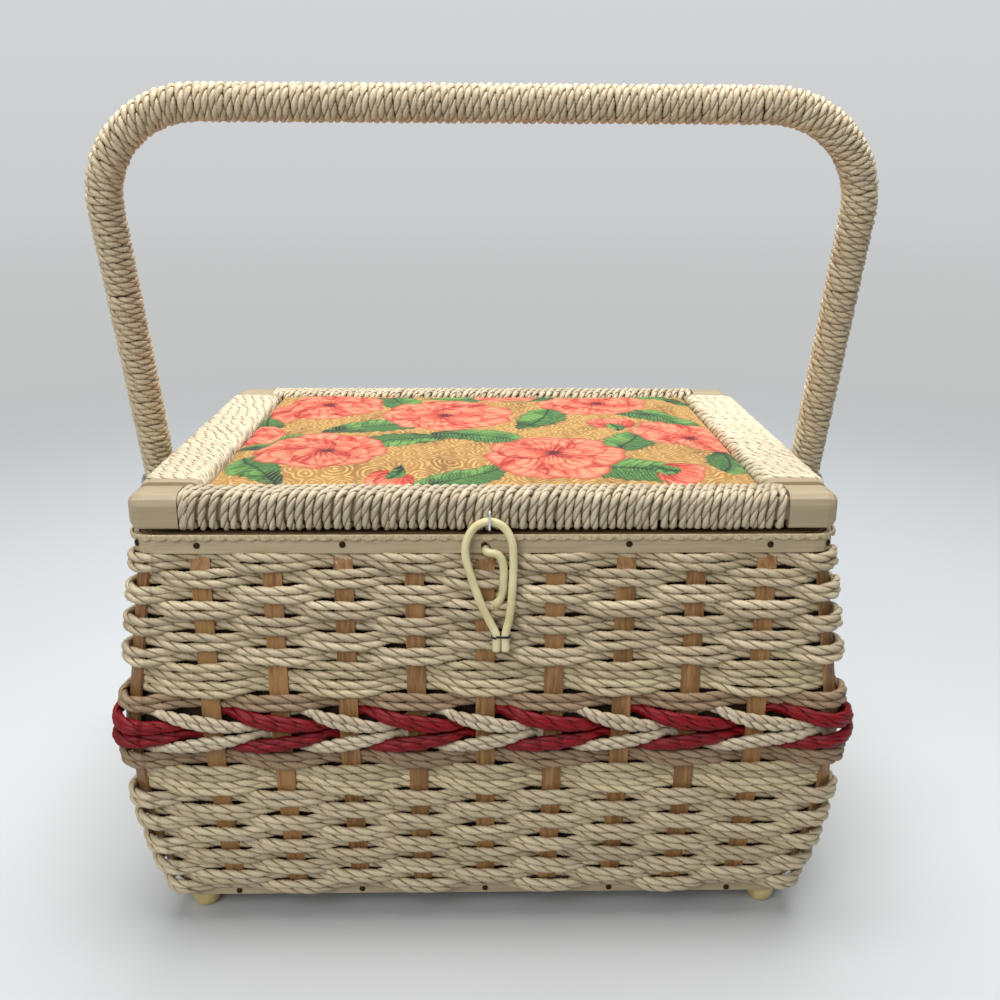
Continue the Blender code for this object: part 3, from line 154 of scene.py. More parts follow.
def stake_numbers(loop, height, run):
    """Each distance along a wall's outline as a stake number, counted from the front's left."""
    flat_x, flat_y, arc = loop.flats
    front = flat_x + stake_places(height, FRONT_STAKES, LONG_EXCESS)
    first_corner = 2 * flat_x + arc / 2
    side = 2 * flat_x + arc + flat_y + stake_places(height, SIDE_STAKES, 0)
    second_corner = 2 * flat_x + 2 * flat_y + 1.5 * arc
    half = np.concatenate([front, [first_corner], side, [second_corner]])
    whole = np.concatenate([half, half + loop.length / 2])
    whole = np.concatenate([[whole[-1] - loop.length], whole, [whole[0] + loop.length]])
    return np.interp(run, whole, np.arange(-1, LOOP_STAKES + 1))


def wobble(run, length, size):
    """A smooth random wave that closes on itself."""
    wave = np.zeros_like(run)
    for _ in range(WOBBLE_TERMS):
        waves = RANDOM.randint(*WOBBLE_WAVES)
        wave += math.sqrt(2 / WOBBLE_TERMS) * np.sin(TURN * (waves * run / length + RANDOM.rand()))
    return size * wave


def swing(place, bias=0.0):
    """From 1 in front of a stake of even number to -1 behind one of odd number."""
    wave = np.cos(math.pi * place) + bias
    wave = np.where(wave > 0, wave / (1 + bias), wave / (1 - bias))
    return np.sin(math.pi / 2 * wave)


def ring_faces(first, rings, sides, closed):
    """Quads between rings of points numbered from the first, and caps where they stay open."""
    index = first + np.arange(rings * sides).reshape(rings, sides)
    following = np.roll(index, -1, axis=0) if closed else index[1:]
    current = index if closed else index[:-1]
    faces = np.stack([current, np.roll(current, -1, axis=1),
                      np.roll(following, -1, axis=1), following], axis=-1).reshape(-1, 4).tolist()
    return faces if closed else faces + [index[0][::-1].tolist(), index[-1].tolist()]


def new_mesh(name, points, faces, fields):
    """A mesh whose fields hold one number or one vector for each point."""
    data = bpy.data.meshes.new(name)
    data.from_pydata(points.tolist(), [], faces)
    for label, values in fields.items():
        single = values.ndim == 1
        attribute = data.attributes.new(label, "FLOAT" if single else "FLOAT_VECTOR", "POINT")
        attribute.data.foreach_set("value" if single else "vector", values.ravel())
    return data


def placed(name, data):
    """A new object in the scene."""
    made = bpy.data.objects.new(name, data)
    bpy.context.scene.collection.objects.link(made)
    return made


class Cords:
    """Lengths of cord gathered into one piece."""

    def __init__(self, half_shape=PLY_SHAPE):
        self.plies = half_shape is PLY_SHAPE
        shape = np.array(half_shape + tuple((angle + 180, radius) for angle, radius in half_shape))
        self.angles = np.radians(shape[:, 0])
        self.radii = shape[:, 1]
        self.points = []
        self.faces = []
        self.fibres = []
        self.shades = []
        self.count = 0

    def add(self, path, outwards, radius, pitch, closed, squash=None, warmth=0.0):
        """Sweeps one cord along a path. It turns once in every pitch, to the right."""
        if closed:
            ahead = np.roll(path, -1, axis=0)
            behind = np.roll(path, 1, axis=0)
            steps = np.linalg.norm(ahead - path, axis=1)
            tangent = ahead - behind
        else:
            steps = np.linalg.norm(np.diff(path, axis=0), axis=1)
            tangent = np.gradient(path, axis=0)
        run = np.concatenate([[0], np.cumsum(steps)])
        length = run[-1]
        run = run[:len(path)]
        tangent /= np.linalg.norm(tangent, axis=1)[:, None]
        first = outwards - (outwards * tangent).sum(axis=1)[:, None] * tangent
        first /= np.linalg.norm(first, axis=1)[:, None]
        second = np.cross(tangent, first)
        turns = max(1, round(length / pitch)) if closed else length / pitch
        start = TURN * RANDOM.rand()
        uneven = 0
        if not closed:
            knots = np.arange(0, length + TWIST_DRIFT_LENGTH, TWIST_DRIFT_LENGTH)
            drift = TWIST_DRIFT * np.cumsum(RANDOM.randn(len(knots)))
            uneven = np.interp(run, knots, drift)[:, None]
        angle = start + uneven + TURN * turns * run[:, None] / length + self.angles[None, :]
        size = radius * self.radii
        flat = np.ones(len(path)) if squash is None else squash
        out = (flat[:, None] * np.cos(angle) * size)[:, :, None] * first[:, None, :]
        over = (np.sin(angle) * size)[:, :, None] * second[:, None, :]
        rings = path[:, None, :] + out + over
        n, m = len(path), len(self.angles)
        self.faces.extend(ring_faces(self.count, n, m, closed))
        self.points.append(rings.reshape(-1, 3))
        tone = RANDOM.rand()
        far = 7 * tone + np.repeat(run, m)
        around = np.tile(self.angles, n)
        self.fibres.append(np.stack([far, np.cos(around), np.sin(around)], axis=-1))
        # the share of the radius, which the cord material turns into painted shade in the grooves
        depth = np.tile(self.radii, n)
        self.shades.append(np.stack([depth, np.full(n * m, tone), np.full(n * m, warmth)], axis=-1))
        self.count += n * m

    def make(self, name, material, body, slot, *nodes):
        fields = {"fibre": np.concatenate(self.fibres), "shade": np.concatenate(self.shades)}
        data = new_mesh(name, np.concatenate(self.points), self.faces, fields)
        ends = np.empty(2 * len(data.edges), int)
        data.edges.foreach_get("vertices", ends)
        ends = ends.reshape(-1, 2) % len(self.angles)
        in_groove = (ends[:, 0] == ends[:, 1]) & (ends[:, 0] % len(PLY_SHAPE) == 0)
        piece = finished(name, data, material, body, slot, *nodes)
        if self.plies:
            sharp = data.attributes.new("sharp_edge", "BOOLEAN", "EDGE")
            sharp.data.foreach_set("value", in_groove)
        return piece


class Shells:
    """Closed forms gathered into one piece, each swept from rings of points."""

    def __init__(self):
        self.points = []
        self.faces = []
        self.marks = []
        self.count = 0

    def loft(self, rings, marks=None):
        """Joins rings of equally many points and closes both ends. Marks are one number a ring."""
        rings = np.asarray(rings, float)
        n, m = rings.shape[:2]
        self.faces.extend(ring_faces(self.count, n, m, False))
        self.points.append(rings.reshape(-1, 3))
        self.marks.append(np.repeat(np.zeros(n) if marks is None else np.asarray(marks, float), m))
        self.count += n * m

    def make(self, name, material, body, slot, *nodes):
        fields = {"mark": np.concatenate(self.marks)}
        data = new_mesh(name, np.concatenate(self.points), self.faces, fields)
        face_outwards(data)
        return finished(name, data, material, body, slot, *nodes)


def face_outwards(data):
    form = bmesh.new()
    form.from_mesh(data)
    bmesh.ops.recalc_face_normals(form, faces=form.faces)
    form.to_mesh(data)
    form.free()


def finished(name, data, material, body, slot, *nodes):
    """A piece made of this mesh, smooth, riding on its body in place of these CAD nodes."""
    data.shade_smooth()
    piece = placed(name, data)
    data.materials.append(material)
    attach(piece, body)
    if nodes:
        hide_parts(*nodes)
    return piece


class Shader:
    """A material or world in the making: nodes are added and linked by their inputs' names."""

    def __init__(self, name, kind="materials", surface="Principled BSDF"):
        self.material = getattr(bpy.data, kind).new(name)
        self.material.use_nodes = True
        self.tree = self.material.node_tree
        self.surface = self.tree.nodes[surface]

    def set(self, node, inputs):
        for label, value in inputs.items():
            socket = node.inputs[label]
            if isinstance(value, bpy.types.NodeSocket):
                self.tree.links.new(value, socket)
            else:
                socket.default_value = value

    def add(self, kind, inputs=None, output=0, **settings):
        node = self.tree.nodes.new("ShaderNode" + kind)
        for label, value in settings.items():
            setattr(node, label, value)
        self.set(node, inputs or {})
        return node.outputs[output]

    def math(self, operation, *values):
        return self.add("Math", dict(enumerate(values)), operation=operation)

    def times(self, first, second):
        return self.math("MULTIPLY", first, second)

    def vector(self, operation, *values, output=0):
        return self.add("VectorMath", dict(enumerate(values)), output, operation=operation)

    def scale(self, vector, factor):
        return self.add("VectorMath", {0: vector, "Scale": factor}, operation="SCALE")

    def split(self, vector):
        node = self.tree.nodes.new("ShaderNodeSeparateXYZ")
        self.set(node, {0: vector})
        return node.outputs[0], node.outputs[1], node.outputs[2]

    def join(self, x, y, z):
        return self.add("CombineXYZ", {0: x, 1: y, 2: z})

    def noise(self, vector, scale, detail=2.0, rough=0.5, distortion=0.0):
        return self.add("TexNoise", {"Vector": vector, "Scale": scale, "Detail": detail,
                                     "Roughness": rough, "Distortion": distortion})

    def range(self, value, low, high, to_low=0.0, to_high=1.0, smooth=False):
        kind = "SMOOTHSTEP" if smooth else "LINEAR"
        return self.add("MapRange", {"Value": value, "From Min": low, "From Max": high,
                                     "To Min": to_low, "To Max": to_high}, interpolation_type=kind)

    def mix(self, share, first, second, blend="MIX"):
        inputs = {0: share, 6: first, 7: second}
        return self.add("Mix", inputs, 2, data_type="RGBA", blend_type=blend)

    def attribute(self, label, output=1):
        return self.add("Attribute", output=output, attribute_name=label)

    def place(self):
        return self.add("TexCoord", output=3)

    def bump(self, height, distance, strength):
        return self.add("Bump", {"Height": height, "Distance": distance, "Strength": strength})

    def done(self, colour, roughness, normal, **more):
        """The material, with its surface set."""
        self.set(self.surface, {"Base Color": colour, "Roughness": roughness, "Normal": normal})
        self.set(self.surface, {label.replace("_", " "): value for label, value in more.items()})
        return self.material


def rgb(red, green, blue):
    """A colour for the renderer from its values in a picture, 0 to 255."""
    values = []
    for value in (red, green, blue):
        share = value / 255
        values.append(share / 12.92 if share <= 0.04045 else ((share + 0.055) / 1.055) ** 2.4)
    return (*values, 1.0)


def tones(*colours):
    """Colours as arrays of three numbers."""
    return [np.array(rgb(*colour)[:3]) for colour in colours]


# Materials
YELLOWED = (0.98, 1.0, 0.88, 1.0)
CORD_RELIEF = 0.32 * MM
WOOD_RELIEF = 0.12 * MM
METAL_RELIEF = 0.02 * MM
FABRIC_RELIEF = 0.08 * MM
PLASTIC_RELIEF = 0.05 * MM
PLASTIC_SCATTER_DEPTH = 2 * MM


def cord_material(name, colours, roughness, shine):
    """Twisted paper: fibres run along each ply, and painted shade darkens the grooves between the
    plies.
    """
    s = Shader(name)
    light, middle, deep = (rgb(*colour) for colour in colours)
    run, across, over = s.split(s.attribute("fibre"))
    depth, tone, warmth = s.split(s.attribute("shade"))
    strands = s.join(s.times(run, 55), s.times(across, 1.5), s.times(over, 1.5))
    fine = s.noise(strands, 3.0, 3.0, 0.65)
    long = s.noise(s.join(s.times(run, 25), tone, 0.0), 1.0, 2.0)
    colour = s.mix(s.range(fine, 0.36, 0.62), middle, light)
    uneven = s.range(s.math("ADD", long, s.times(tone, 0.5)), 0.45, 1.05)
    colour = s.mix(s.times(uneven, 0.45), colour, deep)
    yellowed = s.mix(1.0, colour, YELLOWED, "MULTIPLY")
    colour = s.mix(s.times(warmth, 0.5), colour, yellowed)
    # painted shade: the deep tone laid into the grooves between the plies, by each point's share of
    # the cord's radius
    colour = s.mix(s.range(depth, 0.56, 0.88, 0.9, 0.0), colour, deep)
    relief = s.math("ADD", fine, s.times(s.noise(strands, 9.0), 0.35))
    return s.done(colour, s.range(fine, 0.2, 0.8, roughness - 0.08, roughness + 0.08),
                  s.bump(relief, CORD_RELIEF, 0.8), Specular_IOR_Level=shine)


def wood_material(name, colours, grain_axis, roughness, contrast=0.6, shine=0.35):
    """Split or painted wood with grain along one axis."""
    s = Shader(name)
    light, middle, dark = (rgb(*colour) for colour in colours)
    stretch = [700, 700, 700]
    stretch[grain_axis] = 28
    grain = s.vector("MULTIPLY", s.place(), tuple(stretch))
    fine = s.noise(grain, 1.0, 4.0, 0.65)
    broad = s.noise(s.vector("MULTIPLY", s.place(), tuple(v / 6 for v in stretch)), 1.0, 2.0)
    colour = s.mix(s.range(fine, 0.3, 0.7), middle, light)
    dark_share = s.times(s.range(s.times(fine, broad), 0.3, 0.16), contrast)
    colour = s.mix(dark_share, colour, dark)
    return s.done(colour, s.range(fine, 0.2, 0.8, roughness - 0.08, roughness + 0.1),
                  s.bump(fine, WOOD_RELIEF, 0.5), Specular_IOR_Level=shine)


def metal_material(name, colour, roughness):
    s = Shader(name)
    smear = s.noise(s.place(), 900.0, 3.0)
    return s.done(rgb(*colour), s.range(smear, 0.3, 0.7, roughness - 0.06, roughness + 0.1),
                  s.bump(smear, METAL_RELIEF, 0.3), Metallic=1.0)


def fabric_material(name, light, dark, thread):
    """Plain woven cloth."""
    s = Shader(name)
    x, y, z = s.split(s.scale(s.place(), TURN / thread / 2))
    warp = s.math("ABSOLUTE", s.math("SINE", s.math("ADD", x, z)))
    weft = s.math("ABSOLUTE", s.math("SINE", s.math("ADD", y, z)))
    weave = s.math("MAXIMUM", warp, weft)
    fibre = s.noise(s.place(), 700.0, 3.0)
    colour = s.mix(s.range(s.times(weave, fibre), 0.2, 0.6), rgb(*dark), rgb(*light))
    return s.done(colour, 0.8, s.bump(weave, FABRIC_RELIEF, 0.6))


def plastic_material(name, light, dark, roughness, scatter):
    s = Shader(name)
    cloud = s.noise(s.place(), 120.0, 3.0)
    colour = s.mix(s.range(cloud, 0.35, 0.7), rgb(*light), rgb(*dark))
    return s.done(colour, s.range(cloud, 0.2, 0.8, roughness - 0.06, roughness + 0.08),
                  s.bump(s.noise(s.place(), 500.0, 2.0), PLASTIC_RELIEF, 0.3),
                  Subsurface_Weight=scatter, Subsurface_Scale=PLASTIC_SCATTER_DEPTH)


# Weave
UPPER_ROWS = (1, 1, 1, 1, 1, 1, 1, 2)
LOWER_ROWS = (2, 1, 1, 1, 1, 1, 1, 1, 1, 1)
ACCENT_ROWS = (1,)
UPPER_SPREAD = 0.17
LOWER_SPREAD = 0.13
WOVEN = (
    ("weave_cords_upper", "weave_upper", "cream", UPPER_ROWS, 1, UPPER_SPREAD),
    ("weave_cords_lower", "weave_lower", "cream", LOWER_ROWS, 0, LOWER_SPREAD),
    ("accent_cords_upper", "accent_row_upper", "tan", ACCENT_ROWS, 1, LOWER_SPREAD),
    ("accent_cords_lower", "accent_row_lower", "tan", ACCENT_ROWS, 1, LOWER_SPREAD),
)
CRIMSON_RADIUS = 1.95 * MM
ARROW_RADIUS = 2 * MM
ARROW_MIDDLE = 3.1 * MM
ARROW_SWING = 3.3 * MM
ARROW_BIAS = 0.35
ARROW_LOWER_SHARE = 0.86
ARROW_CORNER_CLOSE = 0.7 * MM
ARROW_CROWDING = 1.2 * MM
ARROW_OFFSET = 5 * MM
CRIMSON_EDGES = (
    (-1, 7, 4.4), (-0.82, 11.4, 7), (-0.59, 10.6, 4.6), (0, 8.5, 1), (0.42, 6.3, 0.2),
    (0.82, 3.4, 0), (1, 7, 4.4),
)
LIGHT_EDGES = (
    (-1, 7, 4.4), (-0.7, 11.5, 8.6), (-0.43, 10.2, 4.6), (0, 8.3, 1), (0.4, 5.3, 0.2),
    (0.74, 3.6, 0), (1, 7, 4.4),
)


def wall_run(height):
    """The wall's outline at a height, a cord's stops along it, and their stake numbers."""
    half = float(wall_half_depth(height))
    loop = Loop(half + LONG_EXCESS, half, WALL_CORNER)
    count = round(loop.length / CORD_STEP)
    run = loop.length * np.arange(count) / count
    return half, loop, run, stake_numbers(loop, height, run)


def wall_path(half, loop, run, z, depth, front, corner):
    """A cord's points at these heights and depths, with their outward directions."""
    depth = depth + corner * (CORNER_TUCK * (1 - front) - CORNER_BULGE * (1 + front)) / 2
    flat, normal = loop.at(run, wall_half_depth(z) - half - depth)
    return np.column_stack([flat, z]), np.column_stack([normal, np.zeros(len(run))])


def cord_row(cords, height, phase, lift, spread, warmth):
    """One ring of cord that passes before and behind the stakes by turns."""
    half, loop, run, place = wall_run(height)
    front = swing(place - phase)
    corner = corner_share(place)
    rise = lift * (1 + spread * np.maximum(front, SPREAD_LEAST))
    z = height + rise + wobble(run, loop.length, WOBBLE_HEIGHT)
    depth = WEAVE_MIDDLE - WEAVE_SWING * front + wobble(run, loop.length, WOBBLE_DEPTH)
    path, outwards = wall_path(half, loop, run, z, depth, front, corner)
    squash = CORD_FLATNESS - CORNER_FLATTENING * corner * (1 - front) / 2
    cords.add(path, outwards, CORD_RADIUS, WEAVE_PITCH, True, squash, warmth)


def corner_share(place):
    """1 at a corner stake and 0 well away from it."""
    half_loop = LOOP_STAKES // 2
    place = np.mod(place, half_loop)
    share = np.zeros_like(place)
    for corner in (FRONT_STAKES, half_loop - 1, -1):
        share += np.exp(-((place - corner) / CORNER_TUCK_REACH) ** 2)
    return share


def weave_rows(cords, node, rows, first_phase, spread):
    """All rows of a plain stretch of wall, from its top down. A row is one or more cord pairs."""
    low, high = node_heights(node)
    unit = (high - low) / sum(rows)
    top = high
    phase = first_phase
    for units in rows:
        count = 2 * units
        for number in range(count):
            lift = unit * units * ((number + 0.5) / count - 0.5)
            cord_row(cords, top - unit * units / 2, phase, lift, spread, float(units > 1))
        top -= unit * units
        phase = 1 - phase


def arrow_strand(cords, rise, edges, phase, share, radius, pitch):
    """One slanting cord of an arrow band. Edges are its group's place, highest and lowest."""
    half, loop, run, place = wall_run(BELLY_HEIGHT + rise * ARROW_OFFSET)
    around = np.mod(place - phase + 1, 2) - 1
    stations, highest, lowest = np.array(edges).T
    top = np.interp(around, stations, highest * MM) - radius
    bottom = np.interp(around, stations, lowest * MM) + radius
    level = softened(bottom + share * (top - bottom), 2)
    level = level * (ARROW_LOWER_SHARE if rise < 0 else 1)
    front = swing(place - phase, ARROW_BIAS)
    corner = corner_share(place)
    level = level - ARROW_CORNER_CLOSE * corner * (1 + front) / 2
    z = BELLY_HEIGHT + rise * level + wobble(run, loop.length, WOBBLE_HEIGHT / 2)
    crowd = np.clip(1 - (top - bottom) / (4 * radius), 0, 1)
    inwards = ARROW_CROWDING * crowd * (0.5 - abs(share - 0.5))
    depth = ARROW_MIDDLE - ARROW_SWING * front - inwards
    path, outwards = wall_path(half, loop, run, z, depth, front, corner)
    cords.add(path, outwards, radius, pitch, True)


def softened(values, reach):
    """A closed run of values with its kinks rounded off."""
    total = np.zeros_like(values)
    for shift in range(-reach, reach + 1):
        total += np.roll(values, shift)
    return total / (2 * reach + 1)


def make_weave(looks):
    """The whole wall, in place of the model's six plain stretches."""
    for name, node, look, rows, first_phase, spread in WOVEN:
        cords = Cords()
        weave_rows(cords, node, rows, first_phase, spread)
        cords.make(name, looks[look], "basket", f"{look}_cord", node)
    crimson = Cords()
    light = Cords()
    for rise in (1, -1):
        for share in (0, 0.5, 1):
            arrow_strand(crimson, rise, CRIMSON_EDGES, 1, share, CRIMSON_RADIUS, CRIMSON_PITCH)
        for share in (0, 1):
            arrow_strand(light, rise, LIGHT_EDGES, 0, share, ARROW_RADIUS, ARROW_PITCH)
    crimson.make("arrow_cords_crimson", looks["crimson"], "basket", "crimson_cord", "chevron_lower")
    light.make("arrow_cords_light", looks["light"], "basket", "light_cord", "chevron_upper")


# Lid frame and its windings
WRAP_RADIUS = 1.74 * MM
WRAP_TOP_ROUND = 3.4 * MM
WRAP_LOW_ROUND = 0.9 * MM
WRAP_STEP = 1.4 * MM
WRAP_START = 0.88
WRAP_SQUARE_END = 0.7
FRONT_TURNS = 68
SIDE_TURNS = 47
WRAP_LEAN = 2.6 * MM
WRAP_JITTER = 0.3 * MM
WRAP_LOOSE = 0.3 * MM
WRAP_DRIFT = 0.1
WRAP_UNEVEN = 0.07
WRAP_LEAN_START = 0.37


def rail_section(half_out, half_up):
    """A cord's way round a rail: points, distances and directions from its outer low edge."""
    corners = ((1, -1, WRAP_LOW_ROUND, -90), (1, 1, WRAP_TOP_ROUND, 0),
               (-1, 1, WRAP_TOP_ROUND, 90), (-1, -1, WRAP_LOW_ROUND, 180))
    points = []
    angles = []
    for side, level, radius, start in corners:
        for step in range(7):
            angle = math.radians(start + 15 * step)
            points.append((side * (half_out - radius) + radius * math.cos(angle),
                           level * (half_up - radius) + radius * math.sin(angle)))
            angles.append(angle)
    points.append(points[0])
    angles.append(angles[0] + TURN)
    points = np.array(points)
    steps = np.linalg.norm(np.diff(points, axis=0), axis=1)
    return points, np.concatenate([[0], np.cumsum(steps)]), np.array(angles)


def wound(cords, box_low, box_high, along, outward, turns):
    """Cord wound round a rail whose sleeve fills this box. Along and outward are unit vectors."""
    middle = (box_low + box_high) / 2
    size = box_high - box_low
    up = np.array([0, 0, 1])
    half_out = abs(size @ outward) / 2 - WRAP_RADIUS
    half_up = size[2] / 2 - WRAP_RADIUS
    half_along = abs(size @ along) / 2 - WRAP_RADIUS
    section, stops, angles = rail_section(half_out, half_up)
    total = stops[-1] * turns
    count = round(total / WRAP_STEP)
    turn = turns * np.arange(count + 1) / count
    run = np.mod(turn + WRAP_START, 1) * stops[-1]
    gaps = 1 + WRAP_DRIFT * np.linspace(1, -1, turns + 1) + WRAP_UNEVEN * RANDOM.randn(turns + 1)
    places = np.concatenate([[0], np.cumsum((gaps[1:] + gaps[:-1]) / 2)])
    places = places / places[-1] * 2 - 1
    square = np.clip(turn, WRAP_SQUARE_END, turns - WRAP_SQUARE_END) - WRAP_SQUARE_END
    square = square * turns / (turns - 2 * WRAP_SQUARE_END)
    advance = half_along * np.interp(square, np.arange(turns + 1), places)
    lean = WRAP_LEAN * np.sin(TURN * (turn + WRAP_START - WRAP_LEAN_START))
    ends = np.clip(np.minimum(turn, turns - turn) / 2, 0, 1)
    jitter = np.interp(turn * 4, np.arange(4 * turns + 1), RANDOM.randn(4 * turns + 1))
    slack = np.interp(turn * 4, np.arange(4 * turns + 1), RANDOM.rand(4 * turns + 1))
    angle = np.interp(run, stops, angles)
    normal = np.column_stack([np.cos(angle), np.sin(angle)])
    flat = np.column_stack([np.interp(run, stops, side) for side in section.T])
    flat -= WRAP_LOOSE * slack[:, None] * normal
    shift = advance + ends * (lean + WRAP_JITTER * jitter)
    path = middle + flat[:, :1] * outward + flat[:, 1:] * up + shift[:, None] * along
    outwards = normal[:, :1] * outward + normal[:, 1:] * up
    cords.add(path, outwards, WRAP_RADIUS, WRAP_PITCH, False)


def make_lid_windings(looks):
    sides = (("front", 0, FRONT_TURNS), ("right", 1, SIDE_TURNS),
             ("back", 2, FRONT_TURNS), ("left", 3, SIDE_TURNS))
    for end, quarter, turns in sides:
        angle = quarter * math.pi / 2
        along = np.array([round(math.cos(angle)), round(math.sin(angle)), 0])
        outward = np.array([along[1], -along[0], 0])
        low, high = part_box(f"wrap_{end}")
        cords = Cords()
        wound(cords, np.array(low), np.array(high), along, outward, turns)
        cords.make(f"wound_cord_{end}", looks["wrap"], "lid", "cream_cord", f"wrap_{end}")


# Handle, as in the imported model
HANDLE_REACH = 181 * MM
HANDLE_TAIL = 8 * MM
HANDLE_BEND = 44 * MM
HANDLE_RADIUS = 7.8 * MM
HANDLE_SPREAD = 157.6 * MM
HANDLE_LEAN = math.radians(18)
PIVOT_Y = -20 * MM
PIVOT_Z = 183.7 * MM
HANDLE_TURN_PITCH = 3.1 * MM
HANDLE_CORD_RADIUS = 1.8 * MM
HANDLE_PLY_PITCH = 10 * MM
HANDLE_STEP = 1.4 * MM
HANDLE_JITTER = 0.25 * MM
HANDLE_SLACK = 0.2 * MM


def handle_line(distance):
    """Centres and directions of the leaning handle at these distances from its left end."""
    leg = HANDLE_REACH - HANDLE_BEND + HANDLE_TAIL
    arc = HANDLE_BEND * math.pi / 2
    half_bar = HANDLE_SPREAD - HANDLE_BEND
    whole = 2 * (leg + arc + half_bar)
    mirrored = distance > whole / 2
    s = np.where(mirrored, whole - distance, distance)
    angle = np.clip((s - leg) / HANDLE_BEND, 0, math.pi / 2)
    x = -half_bar - HANDLE_BEND * np.cos(angle) + np.clip(s - leg - arc, 0, None)
    rise = np.minimum(s, leg) - HANDLE_TAIL + HANDLE_BEND * np.sin(angle)
    side = np.where(mirrored, -1, 1)
    up = np.array([0, -math.sin(HANDLE_LEAN), math.cos(HANDLE_LEAN)])
    across = np.array([1.0, 0, 0])
    centre = np.array([0, PIVOT_Y, PIVOT_Z]) + (side * x)[:, None] * across + rise[:, None] * up
    direction = np.sin(angle)[:, None] * across + (side * np.cos(angle))[:, None] * up
    return centre, direction, whole


def make_handle_winding(looks):
    whole = handle_line(np.zeros(1))[2]
    radius = HANDLE_CORD_RADIUS
    reach = HANDLE_RADIUS - radius
    turns = round((whole - 2 * radius) / HANDLE_TURN_PITCH)
    count = round(turns * TURN * reach / HANDLE_STEP)
    turn = turns * np.arange(count + 1) / count
    distance = radius + (whole - 2 * radius) * turn / turns
    ends = np.clip(np.minimum(turn, turns - turn), 0, 1)
    jitter = np.interp(turn * 3, np.arange(3 * turns + 1), RANDOM.randn(3 * turns + 1))
    slack = np.interp(turn * 2, np.arange(2 * turns + 1), RANDOM.rand(2 * turns + 1))
    centre, direction, _ = handle_line(distance + ends * HANDLE_JITTER * jitter)
    out = np.array([0, -math.cos(HANDLE_LEAN), -math.sin(HANDLE_LEAN)])
    side = np.cross(direction, out)
    angle = TURN * turn[:, None]
    outwards = np.cos(angle) * out + np.sin(angle) * side
    path = centre + (reach - HANDLE_SLACK * slack[:, None]) * outwards
    cords = Cords()
    cords.add(path, outwards, radius, HANDLE_PLY_PITCH, False)
    cords.make("wound_cord_handle", looks["handle"], "handle", "cream_cord", "handle_wrap")


# Lining box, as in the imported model
LINING_BEHIND_WALL = 8.7 * MM
LINING_CORNER = 5.3 * MM
LINING_FOOT = (16.8 * MM, 102.2 * MM, 10.1 * MM)
LINING_MOUTH = (177.6 * MM, 104.2 * MM, 7.9 * MM)
LINING_TOP = 186.9 * MM
LINING_CURVED = (24.7 * MM, 170.6 * MM)
LINING_THICKNESS = 1.2 * MM
LINING_LEVELS = 44
LINING_AROUND = 520
LINING_THREAD = 0.45 * MM
LINING_RELIEF = 0.05 * MM
FLOOR_RINGS = (0.3, 0.7, 0.97)
GATHER = 0.9 * MM
GATHER_WAVES = (61, 83, 104, 137)
GATHER_FADE_TOP = 12 * MM
GATHER_FADE_FLOOR = 6 * MM


def lining_ring(height, inset, gather=0.0):
    """Points of the lining at a height, this far inside its outer face."""
    curved = np.linspace(*LINING_CURVED, 16)
    stations = np.concatenate([[LINING_FOOT[0]], curved, [LINING_MOUTH[0]]])
    halves = wall_half_depth(stations) - LINING_BEHIND_WALL
    halves[0] = LINING_FOOT[1]
    halves[-1] = LINING_MOUTH[1]
    half = float(np.interp(height, stations, halves))
    ends = (stations[0], stations[1], stations[-2], stations[-1])
    corners = (LINING_FOOT[2], LINING_CORNER, LINING_CORNER, LINING_MOUTH[2])
    radius = float(np.interp(height, ends, corners))
    loop = Loop(half + LONG_EXCESS, half, radius)
    share = np.arange(LINING_AROUND) / LINING_AROUND
    flat, _ = loop.at(loop.length * share, -inset - gather)
    return np.column_stack([flat, np.full(LINING_AROUND, height)])


def shrunk_ring(points, share, height):
    """The same outline drawn in towards the middle."""
    ring = points * share
    ring[:, 2] = height
    return ring


def make_lining(looks):
    """Card box behind the weave, covered inside with gathered cloth and bound at its mouth."""
    bottom = LINING_FOOT[0]
    floor = bottom + LINING_THICKNESS
    base = lining_ring(bottom, 0.0)
    rings = [shrunk_ring(base, share, bottom) for share in FLOOR_RINGS]
    for height in np.linspace(bottom, LINING_TOP, LINING_LEVELS):
        rings.append(lining_ring(height, 0.0))
    marks = [0] * len(rings)
    share = np.arange(LINING_AROUND) / LINING_AROUND
    folds = sum(np.sin(TURN * (waves * share + RANDOM.rand())) for waves in GATHER_WAVES)
    folds = 0.5 + 0.5 * folds / len(GATHER_WAVES)
    for height in np.linspace(LINING_TOP, floor, LINING_LEVELS):
        hold = min(1, (LINING_TOP - height) / GATHER_FADE_TOP, (height - floor) / GATHER_FADE_FLOOR)
        rings.append(lining_ring(height, LINING_THICKNESS, GATHER * max(hold, 0) * folds))
    ground = lining_ring(floor, LINING_THICKNESS)
    rings.extend(shrunk_ring(ground, share, floor) for share in FLOOR_RINGS[::-1])
    marks += [1] * (len(rings) - len(marks))
    shell = Shells()
    shell.loft(rings, marks)
    shell.make("lining_box", looks["lining"], "basket", "lining_fabric", "lining")


